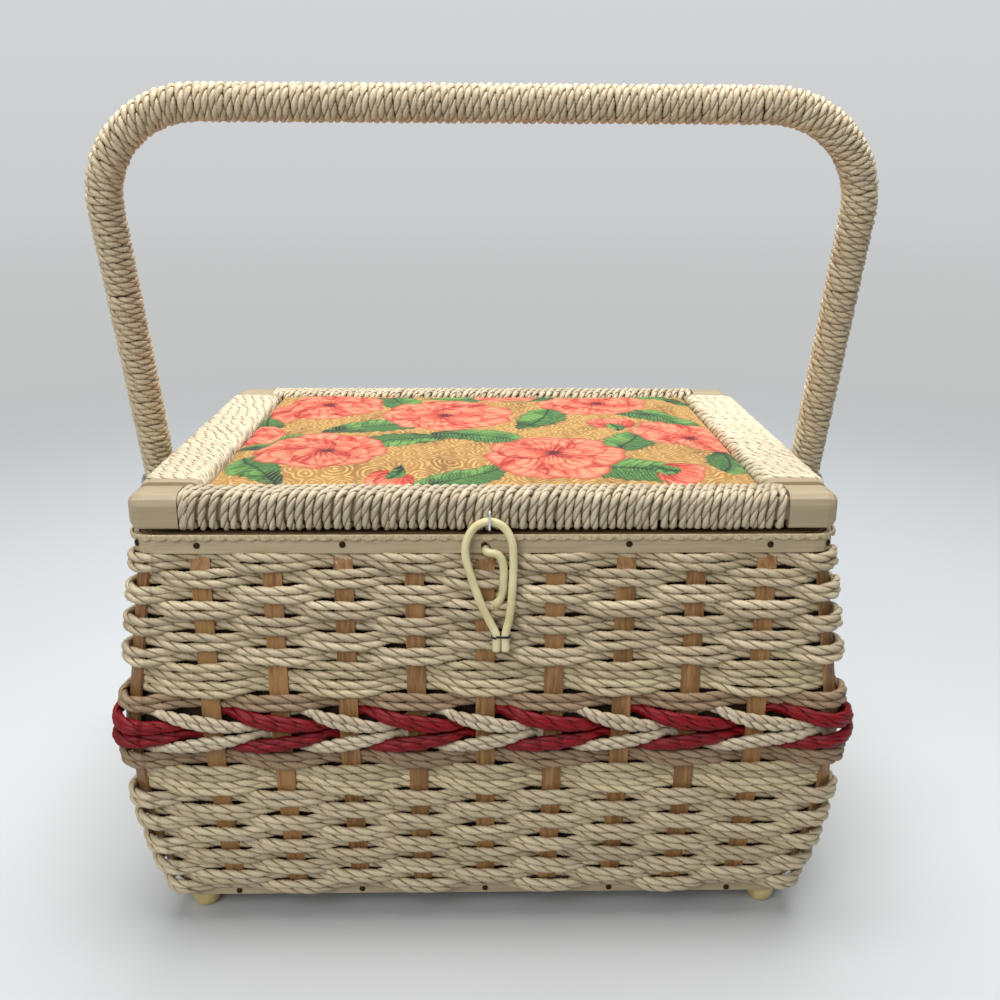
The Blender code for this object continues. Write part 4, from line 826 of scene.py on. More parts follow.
def card_and_cloth(name):
    """Card on the unmarked side, its near-black colour painted shade for the gaps in the weave, and
    gold cloth with a soft sheen on the marked one.
    """
    s = Shader(name)
    x, y, z = s.split(s.place())
    warp = s.math("SINE", s.times(s.math("ADD", x, y), TURN / LINING_THREAD))
    weft = s.math("SINE", s.times(z, TURN / LINING_THREAD))
    weave = s.math("ADD", warp, weft)
    streak = s.noise(s.join(s.times(x, 500), s.times(y, 500), s.times(z, 60)), 1.0, 3.0)
    cloth = s.mix(s.range(streak, 0.3, 0.7), rgb(210, 168, 88), rgb(188, 144, 68))
    cloth = s.mix(s.range(weave, -1, 1, 0.0, 0.25), cloth, rgb(232, 192, 120))
    spots = s.noise(s.place(), 60.0, 3.0)
    # painted shade: the card is real, but it is coloured near black so that the gaps between the
    # cords read as shadow
    card = s.mix(s.range(spots, 0.35, 0.65), rgb(34, 21, 14), rgb(62, 43, 27))
    inside = s.attribute("mark", 2)
    return s.done(s.mix(inside, card, cloth), s.range(inside, 0, 1, 0.9, 0.5),
                  s.bump(weave, LINING_RELIEF, 0.5), Sheen_Weight=0.15, Specular_IOR_Level=0.3)


# Padded panel of the lid
PANEL_HALF_X = 118.1 * MM
PANEL_HALF_Y = 93.4 * MM
PANEL_CORNER = 4 * MM
PANEL_BOTTOM = 193.5 * MM
PANEL_EDGE_HEIGHT = 200.4 * MM
PANEL_SHOULDER_RISE = 2.6 * MM
PANEL_CROWN_RISE = 3.8 * MM
PANEL_EDGE_ROUND = 4.5 * MM
PANEL_DOME_REACH = 30 * MM
PANEL_COLUMNS = 470
PANEL_ROWS = 290
SIMULATED_VOXEL = 5 * MM
SIMULATED_FRAMES = 20
SIMULATED_GRID = (60, 48)
SIMULATED_PRESSURE = 4
SIMULATED_QUALITY = 5
SWELL_GRID = (80, 64)
SWELL_MARGIN = 6 * MM
SWELL_CAP = 2.5 * MM
PANEL_HOLD_REACH = 12 * MM
PANEL_SKIRT_LEVELS = 6
PANEL_UNDERSIDE_RINGS = (0.98, 0.8, 0.5, 0.2)


def panel_depth(x, y):
    """Distance in from the panel's rounded edge."""
    beyond_x = np.abs(x) - (PANEL_HALF_X - PANEL_CORNER)
    beyond_y = np.abs(y) - (PANEL_HALF_Y - PANEL_CORNER)
    outside = np.hypot(np.maximum(beyond_x, 0), np.maximum(beyond_y, 0))
    return PANEL_CORNER - outside - np.minimum(np.maximum(beyond_x, beyond_y), 0)


def low_dome(depth):
    """Rise of the padding from its edges in."""
    return 0.5 * PANEL_CROWN_RISE * np.sin(math.pi / 2 * np.clip(depth / PANEL_DOME_REACH, 0, 1))


def panel_height(x, y):
    """Height of the padded top before it swells: a rolled edge and a low crown."""
    depth = np.clip(panel_depth(x, y), 0, None)
    roll = np.sqrt(1 - (1 - np.clip(depth / PANEL_EDGE_ROUND, 0, 1)) ** 2)
    return PANEL_EDGE_HEIGHT + PANEL_SHOULDER_RISE * roll + low_dome(depth)


def panel_grid(columns, rows):
    """A grid of points over the panel, drawn in at its round corners."""
    x, y = np.meshgrid(np.linspace(-PANEL_HALF_X, PANEL_HALF_X, columns),
                       np.linspace(-PANEL_HALF_Y, PANEL_HALF_Y, rows))
    flat_x = PANEL_HALF_X - PANEL_CORNER
    flat_y = PANEL_HALF_Y - PANEL_CORNER
    u = np.clip((np.abs(x) - flat_x) / PANEL_CORNER, 0, 1)
    v = np.clip((np.abs(y) - flat_y) / PANEL_CORNER, 0, 1)
    round_x = np.sign(x) * (flat_x + PANEL_CORNER * u * np.sqrt(1 - v * v / 2))
    round_y = np.sign(y) * (flat_y + PANEL_CORNER * v * np.sqrt(1 - u * u / 2))
    return np.where(u > 0, round_x, x), np.where(v > 0, round_y, y)


def grid_faces(rows, columns):
    """Faces of a grid of points, and the numbers of the points along its edge."""
    index = np.arange(rows * columns).reshape(rows, columns)
    faces = np.stack([index[:-1, :-1], index[:-1, 1:], index[1:, 1:], index[1:, :-1]], axis=-1)
    edge = np.concatenate([index[0, :-1], index[:-1, -1], index[-1, :0:-1], index[:0:-1, 0]])
    return faces.reshape(-1, 4), edge


def skirt_faces(above, below):
    """Faces between two closed rows of points."""
    return np.stack([above, below, np.roll(below, -1), np.roll(above, -1)], axis=-1).tolist()


def closed_pad(x, y, top):
    """A closed pad's points and faces: this top, a skirt down to its board, a flat underside."""
    faces, edge = grid_faces(*x.shape)
    faces = faces.tolist()
    points = [np.column_stack([x.ravel(), y.ravel(), top.ravel()])]
    rim = points[0][edge]
    above = edge
    count = x.size
    levels = np.linspace(PANEL_EDGE_HEIGHT, PANEL_BOTTOM, PANEL_SKIRT_LEVELS)[1:]
    shares = [(1, level) for level in levels]
    shares += [(share, PANEL_BOTTOM) for share in PANEL_UNDERSIDE_RINGS]
    for share, level in shares:
        ring = rim * share
        ring[:, 2] = level
        points.append(ring)
        below = count + np.arange(len(edge))
        faces.extend(skirt_faces(above, below))
        above = below
        count += len(edge)
    faces.append(above[::-1].tolist())
    return np.concatenate(points), faces, edge, len(shares)


def swollen_tree():
    """The pad as a coarse cloth that air pressure has filled out, for reading its height."""
    x, y = panel_grid(*SIMULATED_GRID)
    points, faces, _, _ = closed_pad(x, y, panel_height(x, y))
    data = new_mesh("swelling", points, faces, {})
    form = placed("swelling", data)
    remesh = form.modifiers.new("remesh", "REMESH")
    remesh.mode = "VOXEL"
    remesh.voxel_size = SIMULATED_VOXEL
    cloth = form.modifiers.new("cloth", "CLOTH")
    cloth.settings.use_pressure = True
    cloth.settings.uniform_pressure_force = SIMULATED_PRESSURE
    cloth.settings.quality = SIMULATED_QUALITY
    cloth.settings.effector_weights.gravity = 0
    cloth.point_cache.frame_start = 1
    cloth.point_cache.frame_end = SIMULATED_FRAMES
    for number in range(1, SIMULATED_FRAMES + 1):
        bpy.context.scene.frame_set(number)
        graph = bpy.context.evaluated_depsgraph_get()
        graph.update()
    tree = BVHTree.FromObject(form, graph)
    bpy.context.scene.frame_set(1)
    bpy.data.objects.remove(form)
    bpy.data.meshes.remove(data)
    return tree


def swelling(x, y):
    """How far the simulated pad rises above the plain one, read on a coarse grid."""
    tree = swollen_tree()
    coarse_x, coarse_y = (np.linspace(-half + SWELL_MARGIN, half - SWELL_MARGIN, count)
                          for half, count in zip((PANEL_HALF_X, PANEL_HALF_Y), SWELL_GRID))
    rise = np.zeros((len(coarse_y), len(coarse_x)))
    for i, place_y in enumerate(coarse_y):
        for j, place_x in enumerate(coarse_x):
            hit = tree.ray_cast(Vector((place_x, place_y, 1)), Vector((0, 0, -1)))[0]
            plain = float(panel_height(np.array(place_x), np.array(place_y)))
            rise[i, j] = hit.z - plain if hit else 0
    rise = SWELL_CAP * np.tanh(rise / SWELL_CAP)
    for _ in range(2):
        rise = (rise + np.roll(rise, 1, 0) + np.roll(rise, -1, 0)
                + np.roll(rise, 1, 1) + np.roll(rise, -1, 1)) / 5
    spread = np.array([np.interp(x[0], coarse_x, row) for row in rise])
    return np.array([np.interp(y[:, 0], coarse_y, column) for column in spread.T]).T


def make_cover(looks):
    """The printed cover over its padding, filled out and drawn down along its edges."""
    x, y = panel_grid(PANEL_COLUMNS, PANEL_ROWS)
    depth = np.clip(panel_depth(x, y), 0, None)
    rise = swelling(x, y)
    top = panel_height(x, y) + eased(depth, 0, PANEL_HOLD_REACH) * rise
    shoulder = PANEL_EDGE_HEIGHT + PANEL_SHOULDER_RISE
    share = PANEL_CROWN_RISE / (top.max() - shoulder)
    top = np.where(top > shoulder, shoulder + (top - shoulder) * share, top)
    points, faces, edge, rings = closed_pad(x, y, top)
    colours = printed(x.ravel() / MM, y.ravel() / MM)
    colours = np.concatenate([colours] + [colours[edge]] * rings)
    data = new_mesh("padded_cover", points, faces, {"print": colours})
    face_outwards(data)
    cover = finished("padded_cover", data, looks["print"], "lid", "print_fabric",
                     "lid_cover", "lid_pad")


# Print of the cover: blooms, buds and leaves, in millimetres on the panel
BLOOMS = (
    (-86, 52, 30, 20), (-22, 26, 33, 75), (62, 56, 29, 130), (101, -14, 27, 10),
    (30, -52, 31, 200), (-74, -48, 30, 310), (-118, -4, 20, 60), (12, 90, 18, 0),
)
BUDS = ((-40, -84, 13, 250), (66, 6, 15, 100), (-52, 84, 13, 200), (84, -80, 14, 330))
LEAVES = (
    (-56, 2, 28, 13, 20), (-40, -26, 26, 12, 200), (-102, -72, 24, 11, 120), (-10, -84, 25, 11, 30),
    (-2, -18, 25, 12, 340), (68, -34, 25, 12, 60), (62, -74, 26, 12, 350), (30, 18, 26, 12, 70),
    (92, 26, 27, 13, 330), (98, 80, 25, 12, 160), (28, 76, 23, 11, 230), (-48, 62, 25, 12, 290),
    (-114, 24, 21, 10, 100), (-20, 78, 24, 11, 10), (112, -58, 22, 11, 260), (-100, -28, 20, 9, 20),
)
BLOOM_PALE, BLOOM_CORAL, BLOOM_RED, BLOOM_DARK, BLOOM_VEIN = tones(
    (245, 146, 110), (226, 92, 68), (170, 32, 32), (74, 12, 16), (250, 176, 140))
LEAF_PALE, LEAF_GREEN, LEAF_DEEP, LEAF_DARK, LEAF_VEIN = tones(
    (110, 158, 74), (54, 106, 48), (28, 62, 34), (14, 32, 24), (168, 198, 120))
GROUND_PALE, GROUND_OCHRE, GROUND_BROWN = tones((226, 190, 122), (184, 138, 72), (136, 92, 40))
GROUND_SEED = 5
BROKEN_SEED = 6
SHADE_SEED = 7
PRINT_THREAD = 0.62 * MM
PRINT_RELIEF = 0.07 * MM


def eased(value, low, high):
    share = np.clip((value - low) / (high - low), 0, 1)
    return share * share * (3 - 2 * share)


def laid(picture, *layers):
    """A picture with colours laid over it by turns, each strongest where its share is 1."""
    for share, colour in layers:
        picture = picture + share[:, None] * (colour - picture)
    return picture


def turned(x, y, cx, cy, angle):
    """Places along and across a direction, from a centre."""
    dx = x - cx
    dy = y - cy
    return dx * math.cos(angle) + dy * math.sin(angle), -dx * math.sin(angle) + dy * math.cos(angle)


def ripples(x, y, seed, size):
    """A smooth random field from -1 to 1 with features of about this size."""
    source = np.random.RandomState(seed)
    field = np.zeros_like(x)
    for _ in range(7):
        angle = TURN * source.rand()
        waves = TURN / (size * (0.7 + source.rand()))
        field += np.sin(waves * (x * math.cos(angle) + y * math.sin(angle)) + TURN * source.rand())
    return field / 3.7


def printed_ground(x, y):
    """Ochre ground with fans of fine curved strokes."""
    source = np.random.RandomState(GROUND_SEED)
    nearest = np.full_like(x, 1e9)
    angle = np.zeros_like(x)
    for place_x in range(-125, 130, 13):
        for place_y in range(-100, 105, 12):
            cx = place_x + 5 * source.randn()
            cy = place_y + 4 * source.randn()
            away = np.hypot(x - cx, 1.15 * (y - cy))
            closer = away < nearest
            nearest = np.where(closer, away, nearest)
            angle = np.where(closer, np.arctan2(y - cy, x - cx) + cx, angle)
    strokes = np.sin(TURN * (nearest / 2.3 + 0.12 * np.sin(3 * angle)))
    broken = ripples(x, y, BROKEN_SEED, 5)
    return laid(
        np.tile(GROUND_OCHRE, (len(x), 1)),
        (eased(ripples(x, y, SHADE_SEED, 26), -0.2, 0.9) * 0.7, GROUND_BROWN),
        (eased(strokes, 0.1, 0.8) * eased(broken, -0.8, 0.3) * 0.85, GROUND_PALE),
        (eased(-strokes, 0.5, 0.95) * 0.5, GROUND_BROWN))


def paint_leaf(picture, x, y, leaf, number):
    cx, cy, length, width, turn = leaf
    along, across = turned(x, y, cx, cy, math.radians(turn))
    along = along / length
    across = across / width - 0.35 * along * along * (1 if number % 2 else -1)
    teeth = 1 + 0.07 * np.sin(34 * along + number) + 0.05 * np.sin(13 * along)
    edge = np.clip(1 - along * along, 0, None) ** 0.7 * teeth * (1 + 0.25 * along)
    share = np.where(edge > 0.02, np.abs(across) / np.maximum(edge, 0.02), 9)
    stroke = np.sin(TURN * (along * 5.5 - 1.5 * np.abs(across)) + 1.2 * ripples(x, y, number, 9))
    fine = np.sin(TURN * (along * 14 - 3.2 * np.abs(across)) + 2 * ripples(x, y, number + 40, 7))
    colour = laid(
        np.tile(LEAF_GREEN, (len(x), 1)),
        (eased(across + 0.5 * ripples(x, y, number + 20, 14), -0.1, 0.8), LEAF_PALE),
        (eased(-along + 0.5 * ripples(x, y, number + 30, 12), 0.2, 0.9), LEAF_DARK),
        (eased(-stroke, 0.3, 0.9) * 0.6, LEAF_DEEP),
        (eased(fine, 0.55, 0.95) * 0.45, LEAF_VEIN),
        (eased(share, 0.8, 0.98) * 0.6, LEAF_DEEP),
        ((1 - eased(np.abs(across) * width, 0.3, 0.9)) * 0.8, LEAF_DARK))
    return laid(picture, (1 - eased(share, 0.93, 1.04), colour))


def paint_petal(picture, x, y, cx, cy, angle, reach, breadth, number):
    """One petal from a bloom's centre outwards, with veins that run to its edge."""
    along, across = turned(x, y, cx, cy, angle)
    along = along / reach
    across = across / breadth
    around = np.arctan2(across, along)
    edge = 1 + 0.05 * np.sin(5 * around + number) + 0.035 * np.sin(11 * around + 2 * number)
    share = np.hypot(along - 0.5, 0.62 * across) / 0.56 / edge
    lines = np.sin(26 * np.arctan2(across, along + 0.35) + 1.5 * ripples(x, y, number, 11))
    side = 1 if number % 3 else -1
    colour = laid(
        np.tile(BLOOM_CORAL, (len(x), 1)),
        (eased(along + 0.35 * ripples(x, y, number + 60, 12), 0.35, 0.95), BLOOM_PALE),
        (eased(0.45 - along + 0.25 * ripples(x, y, number + 70, 9), 0.0, 0.5), BLOOM_RED),
        (eased(side * across + 0.4 * ripples(x, y, number + 80, 13), 0.25, 0.9) * 0.75, BLOOM_RED),
        (eased(lines, 0.3, 0.9) * 0.75 * eased(1.1 - along, 0.0, 0.5), BLOOM_RED),
        (eased(lines, 0.85, 1.0) * 0.6 * eased(0.7 - along, 0.0, 0.4), BLOOM_DARK),
        (eased(-lines, 0.7, 1.0) * 0.35, BLOOM_VEIN),
        (eased(share, 0.82, 0.99) * 0.8, BLOOM_RED))
    return laid(picture, (1 - eased(share, 0.95, 1.03), colour))


def paint_bloom(picture, x, y, bloom, number):
    cx, cy, size, turn = bloom
    near = np.hypot(x - cx, y - cy) < 1.3 * size
    spot = picture[near]
    px = x[near]
    py = y[near]
    layers = ((7, 1.0, 0.62), (5, 0.74, 0.6), (4, 0.46, 0.62))
    for layer, (petals, share, width) in enumerate(layers):
        for petal in range(petals):
            angle = math.radians(turn + 37 * layer) + TURN * petal / petals
            reach = size * share * (1 + 0.1 * math.sin(5.3 * petal + number))
            spot = paint_petal(spot, px, py, cx, cy, angle, reach, reach * width,
                               10 * number + 3 * petal + layer)
    away = np.hypot(px - cx - 0.06 * size, py - cy)
    rays = np.sin(11 * np.arctan2(py - cy, px - cx) + number)
    heart = (1 - eased(away / size + 0.05 * rays, 0.07, 0.16)) * 0.9
    picture[near] = laid(spot, (heart, BLOOM_DARK))
    return picture


def paint_bud(picture, x, y, bud, number):
    cx, cy, size, turn = bud
    angle = math.radians(turn)
    ahead = size * math.cos(angle)
    aside = size * math.sin(angle)
    for petal in (-1, 1, 0):
        picture = paint_petal(picture, x, y, cx - 0.5 * ahead, cy - 0.5 * aside,
                              angle + 0.42 * petal, 1.3 * size, 0.6 * size, number + petal)
    sepal = (cx - 0.45 * ahead, cy - 0.45 * aside, 0.55 * size, 0.3 * size, turn)
    return paint_leaf(picture, x, y, sepal, number)


def printed(x, y):
    """The print's colours at these places."""
    picture = printed_ground(x, y)
    for number, leaf in enumerate(LEAVES):
        picture = paint_leaf(picture, x, y, leaf, number)
    for number, bloom in enumerate(BLOOMS):
        picture = paint_bloom(picture, x, y, bloom, number)
    for number, bud in enumerate(BUDS):
        picture = paint_bud(picture, x, y, bud, 90 + number)
    return np.clip(picture, 0.002, 1)


def print_material(name):
    """The painted colours on a plain-woven cotton."""
    s = Shader(name)
    x, y, z = s.split(s.place())
    warp = s.math("SINE", s.times(x, TURN / PRINT_THREAD))
    weft = s.math("SINE", s.times(y, TURN / PRINT_THREAD))
    weave = s.times(warp, weft)
    slub = s.noise(s.vector("MULTIPLY", s.place(), (260, 1900, 1)), 1.0, 3.0)
    shade = s.range(s.math("ADD", s.times(weave, 0.12), slub), 0.25, 0.75, 0.86, 1.1)
    return s.done(s.scale(s.attribute("print"), shade), s.range(slub, 0.3, 0.7, 0.55, 0.72),
                  s.bump(s.math("ADD", weave, slub), PRINT_RELIEF, 0.6),
                  Specular_IOR_Level=0.35, Sheen_Weight=0.05)


# Cloth under the lid's panel
BACKING_LOW = 189 * MM
BACKING_HIGH = 189.8 * MM
BACKING_GRID = (90, 72)
BACKING_LIFT = 0.1 * MM
BACKING_SLACK = 0.08 * MM
BACKING_SLACK_REACH = 10 * MM
BACKING_SEED = 3
BACKING_WAVE = 22


def make_backing(looks):
    """Lining cloth stretched under the lid, a little slack between its glued edges."""
    x, y = panel_grid(*BACKING_GRID)
    hold = np.clip(np.clip(panel_depth(x, y), 0, None) / BACKING_SLACK_REACH, 0, 1)
    slack = hold * BACKING_SLACK * (1 + ripples(x / MM, y / MM, BACKING_SEED, BACKING_WAVE))
    low = BACKING_LOW + BACKING_LIFT - slack / 2
    top, edge = grid_faces(*x.shape)
    faces = top.tolist() + (top[:, ::-1] + x.size).tolist() + skirt_faces(edge, edge + x.size)
    points = np.concatenate([np.column_stack([x.ravel(), y.ravel(), level.ravel()])
                             for level in (np.full_like(low, BACKING_HIGH), low)])
    data = new_mesh("lid_backing", points, faces, {"mark": np.ones(len(points))})
    face_outwards(data)
    backing = finished("lid_backing", data, looks["lining"], "lid", "lining_fabric", "lid_lining")


# Scalloped trim over the rim
TRIM_HALF = 111.8 * MM
TRIM_CORNER = 10.3 * MM
TRIM_LOW = 185.3 * MM
TRIM_HIGH = 187.9 * MM
TRIM_THICKNESS = 1.1 * MM
TRIM_SCALLOP = 6.1 * MM
TRIM_STEP = 0.5 * MM
TRIM_BACK_REACH = 127.3 * MM
TRIM_CORNER_SHARE = 0.6
TRIM_SCALLOP_DEPTH = 1.3 * MM
TRIM_SCALLOP_POWER = 0.6
TRIM_RIB = 0.2 * MM
TRIM_RIB_PITCH = 1.3 * MM
TRIM_TOP_ROUND = 0.3 * MM
TRIM_LOW_ROUND = 0.35 * MM


def trim_strip(shell, loop, start, end):
    count = round((end - start) / TRIM_STEP)
    run = np.linspace(start, end, count)
    wave = np.abs(np.sin(math.pi * run / TRIM_SCALLOP)) ** TRIM_SCALLOP_POWER
    low = TRIM_LOW + TRIM_SCALLOP_DEPTH * (1 - wave)
    rib = TRIM_RIB * np.sin(TURN * run / TRIM_RIB_PITCH)
    top = np.full_like(run, TRIM_HIGH)
    section = ((0, top), (0.75, top), (1, top - TRIM_TOP_ROUND), (1, low * 0.5 + 0.5 * top),
               (1, low + TRIM_LOW_ROUND), (0.75, low), (0, low))
    rings = []
    for share, height in section:
        flat, _ = loop.at(run, share * TRIM_THICKNESS - (TRIM_RIB - rib if share == 1 else 0))
        rings.append(np.column_stack([flat, height]))
    shell.loft(np.stack(rings, axis=1))


def make_trim(looks):
    loop = Loop(TRIM_HALF + LONG_EXCESS, TRIM_HALF, TRIM_CORNER)
    flat_x, flat_y, arc = loop.flats
    reach = (1 + TRIM_CORNER_SHARE) * arc + 2 * flat_y
    around = Shells()
    trim_strip(around, loop, -reach, 2 * flat_x + reach)
    around.make("trim_front", looks["braid"], "basket", "braid", "rim_braid")
    behind = Shells()
    middle = 3 * flat_x + 2 * arc + 2 * flat_y
    trim_strip(behind, loop, middle - TRIM_BACK_REACH, middle + TRIM_BACK_REACH)
    behind.make("trim_back", looks["braid"], "basket", "braid", "rim_braid_back")


# Nails of the two bands
NAIL_RADIUS = 1.4 * MM
NAIL_HEAD = 0.65 * MM
NAIL_ROOT = 0.3 * MM
NAIL_SIDES = 14
NAIL_PROFILE = ((0.9, -NAIL_ROOT), (1, 0), (0.93, 0.5 * NAIL_HEAD), (0.7, 0.85 * NAIL_HEAD),
                (0.3, NAIL_HEAD))
NAIL_SCATTER = 0.4 * MM
NAIL_LEVEL_SCATTER = 0.3 * MM
BAND_CORNER = 10 * MM
NAILED_BANDS = (("top", 111.5 * MM, 183.3 * MM), ("bottom", 106.5 * MM, 12.5 * MM))


def nail(shell, place, outwards):
    """A domed head sunk a little into the band."""
    side = np.cross(outwards, (0, 0, 1))
    up = np.array([0, 0, 1.0])
    around = TURN * np.arange(NAIL_SIDES) / NAIL_SIDES
    rings = []
    for radius, rise in NAIL_PROFILE:
        spokes = np.cos(around)[:, None] * side + np.sin(around)[:, None] * up
        rings.append(place + rise * outwards + NAIL_RADIUS * radius * spokes)
    shell.loft(rings)


def make_nails(looks):
    for end, half, height in NAILED_BANDS:
        shell = Shells()
        loop = Loop(half + LONG_EXCESS, half, BAND_CORNER)
        flat_x, flat_y, arc = loop.flats
        front = stake_places(height, FRONT_STAKES, LONG_EXCESS)[::2]
        side = stake_places(height, SIDE_STAKES, 0)[::2]
        runs = [flat_x + place for place in front] + [2 * flat_x + arc / 2]
        runs += [2 * flat_x + arc + flat_y + place for place in side]
        runs += [2 * flat_x + 1.5 * arc + 2 * flat_y]
        runs = np.array(runs + [run + loop.length / 2 for run in runs])
        runs = runs + NAIL_SCATTER * RANDOM.randn(len(runs))
        flat, normal = loop.at(runs, 0.0)
        levels = height + NAIL_LEVEL_SCATTER * RANDOM.randn(len(runs))
        for place, direction, level in zip(flat, normal, levels):
            if end == "top" and place[1] > 0 and abs(place[0]) > TRIM_BACK_REACH:
                continue
            nail(shell, np.array([*place, level]), np.array([*direction, 0.0]))
        shell.make(f"nails_{end}", looks["nail"], "basket", "bright_steel")


# Latch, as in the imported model
LATCH_RADIUS = 1.7 * MM
LATCH_X = 1.8 * MM
LATCH_Y = -114.3 * MM
LATCH_Z = 194.2 * MM
LATCH_SLOPE = -0.1335
LATCH_ROUTE = (
    (2.8, 54.3), (2.8, 48), (1.4, 44.2), (-3.2, 35), (-7.6, 22.6), (-9.8, 14.2), (-9.2, 7.6),
    (-5.6, 2), (0, 0), (5.6, 2.2), (9, 8), (9.8, 16), (9.4, 28), (8.4, 39), (7, 45), (6.6, 48),
    (6.6, 54.3),
)
KEEPER_Y = -116.4 * MM
KEEPER_TOP = 179.6 * MM
KEEPER_ROUTE = (
    (2.4, -1.8), (5, -1.2), (6.8, 1.2), (7.6, 5.2), (7.6, 10.2), (7.3, 14.7), (6.4, 18.2),
    (5.2, 19.8),
)
KEEPER_BEND = 2.1 * MM
KEEPER_ENDS = (-107.8 * MM, -113.5 * MM)
STAPLE_RADIUS = 0.55 * MM
STAPLE_POINTS = ((-102.3, 198.8), (-116.85, 198.8), (-116.85, 191.1), (-106.3, 191.1))
STAPLE_BEND = 1.3 * MM
THREAD_RADIUS = 0.24 * MM
THREAD_TURNS = 2
THREAD_STEPS = 40
THREAD_BITE = 0.1 * MM
THREAD_UNEVEN = 0.03 * MM
THREAD_DROP = 47.8 * MM


def flowing(points, steps=6):
    """A smooth curve through these points."""
    points = np.asarray(points, float)
    padded = np.concatenate([[2 * points[0] - points[1]], points, [2 * points[-1] - points[-2]]])
    curve = []
    for number in range(1, len(padded) - 2):
        before, start, end, after = padded[number - 1:number + 3]
        for step in range(steps):
            t = step / steps
            square = (2 * before - 5 * start + 4 * end - after) * t * t
            cube = (3 * start - before - 3 * end + after) * t ** 3
            curve.append(0.5 * (2 * start + (end - before) * t + square + cube))
    curve.append(points[-1])
    return np.array(curve)


def carried_along(path, start):
    """Directions square to a path that don't turn about it."""
    tangent = np.gradient(path, axis=0)
    tangent /= np.linalg.norm(tangent, axis=1)[:, None]
    direction = np.array(start, float)
    directions = []
    for heading in tangent:
        direction = direction - (direction @ heading) * heading
        direction = direction / np.linalg.norm(direction)
        directions.append(direction)
    return np.array(directions)


def rod(name, path, start, radius, look, body, slot, *nodes):
    cords = Cords(ROUND_SHAPE)
    cords.add(path, carried_along(path, start), radius, PLAIN_PITCH, False)
    return cords.make(name, look, body, slot, *nodes)


def bent(points, radius, steps=8):
    """A path of straight runs whose corners are rounded."""
    points = [np.array(point, float) for point in points]
    path = [points[0]]
    for before, corner, after in zip(points, points[1:], points[2:]):
        back = (before - corner) / np.linalg.norm(before - corner)
        ahead = (after - corner) / np.linalg.norm(after - corner)
        centre = corner + radius * (back + ahead)
        for step in range(steps + 1):
            angle = math.pi / 2 * step / steps
            path.append(centre - radius * (math.cos(angle) * ahead + math.sin(angle) * back))
    path.append(points[-1])
    return np.array(path)


def make_latch(looks):
    route = [(LATCH_X + x * MM, LATCH_Y + LATCH_SLOPE * drop * MM, LATCH_Z - drop * MM)
             for x, drop in LATCH_ROUTE]
    rod("latch_cord", flowing(route, 8), (0, -1, 0), LATCH_RADIUS, looks["latch"],
        "latch", "latch_plastic", "latch_loop")
    front = flowing([(x * MM, KEEPER_Y, KEEPER_TOP - drop * MM) for x, drop in KEEPER_ROUTE])
    legs = []
    for tip, before, end in zip(front[[0, -1]], front[[1, -2]], KEEPER_ENDS):
        heading = (tip - before) / np.linalg.norm(tip - before)
        leg = []
        for step in range(8):
            angle = math.pi / 2 * (1 - step / 8)
            bend = math.sin(angle) * heading + np.array([0, 1 - math.cos(angle), 0])
            leg.append(tip + KEEPER_BEND * bend)
        legs.append([np.array([leg[0][0], end, leg[0][2]]), *leg])
    path = np.array([*legs[0], *front, *legs[1][::-1]])
    rod("keeper_cord", path, (0, 0, 1), LATCH_RADIUS, looks["latch"],
        "basket", "latch_plastic", "keeper_loop")
    staple = bent([(LATCH_X, y * MM, z * MM) for y, z in STAPLE_POINTS], STAPLE_BEND)
    rod("staple_wire", staple, (1, 0, 0), STAPLE_RADIUS, looks["steel"],
        "lid", "bright_steel", "latch_staple")
    make_tie(looks)


def make_tie(looks):
    """Thread wound round the loop's two tails."""
    left = LATCH_X + LATCH_ROUTE[0][0] * MM
    right = LATCH_X + LATCH_ROUTE[-1][0] * MM
    reach = LATCH_RADIUS + THREAD_RADIUS
    loop = Loop((right - left) / 2 + reach, reach, reach - THREAD_BITE)
    count = THREAD_STEPS * THREAD_TURNS
    turn = np.arange(count + 1) / THREAD_STEPS
    flat, normal = loop.at(loop.length * turn, THREAD_UNEVEN * RANDOM.randn(count + 1))
    drop = THREAD_DROP + 2 * THREAD_RADIUS * (turn - THREAD_TURNS / 2)
    path = np.column_stack([(left + right) / 2 + flat[:, 0],
                            LATCH_Y + LATCH_SLOPE * drop + flat[:, 1], LATCH_Z - drop])
    cords = Cords(ROUND_SHAPE)
    outwards = np.column_stack([normal, np.zeros(count + 1)])
    cords.add(path, outwards, THREAD_RADIUS, PLAIN_PITCH, False)
    cords.make("tie_thread", looks["thread"], "latch", "tie_thread", "latch_tie")


# Feet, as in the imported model
FOOT_PLACE = (131.2 * MM, 96.5 * MM)
FOOT_PROFILE_RADIUS = 6.6 * MM
FOOT_FLAT = 4 * MM
FOOT_HEIGHT = 10.2 * MM
FOOT_DOME = 6.7 * MM
FOOT_SIDES = 48
FOOT_TOP_ROUND = 0.3 * MM
FOOT_LIP = 0.6 * MM
FOOT_NECK = 0.25 * MM


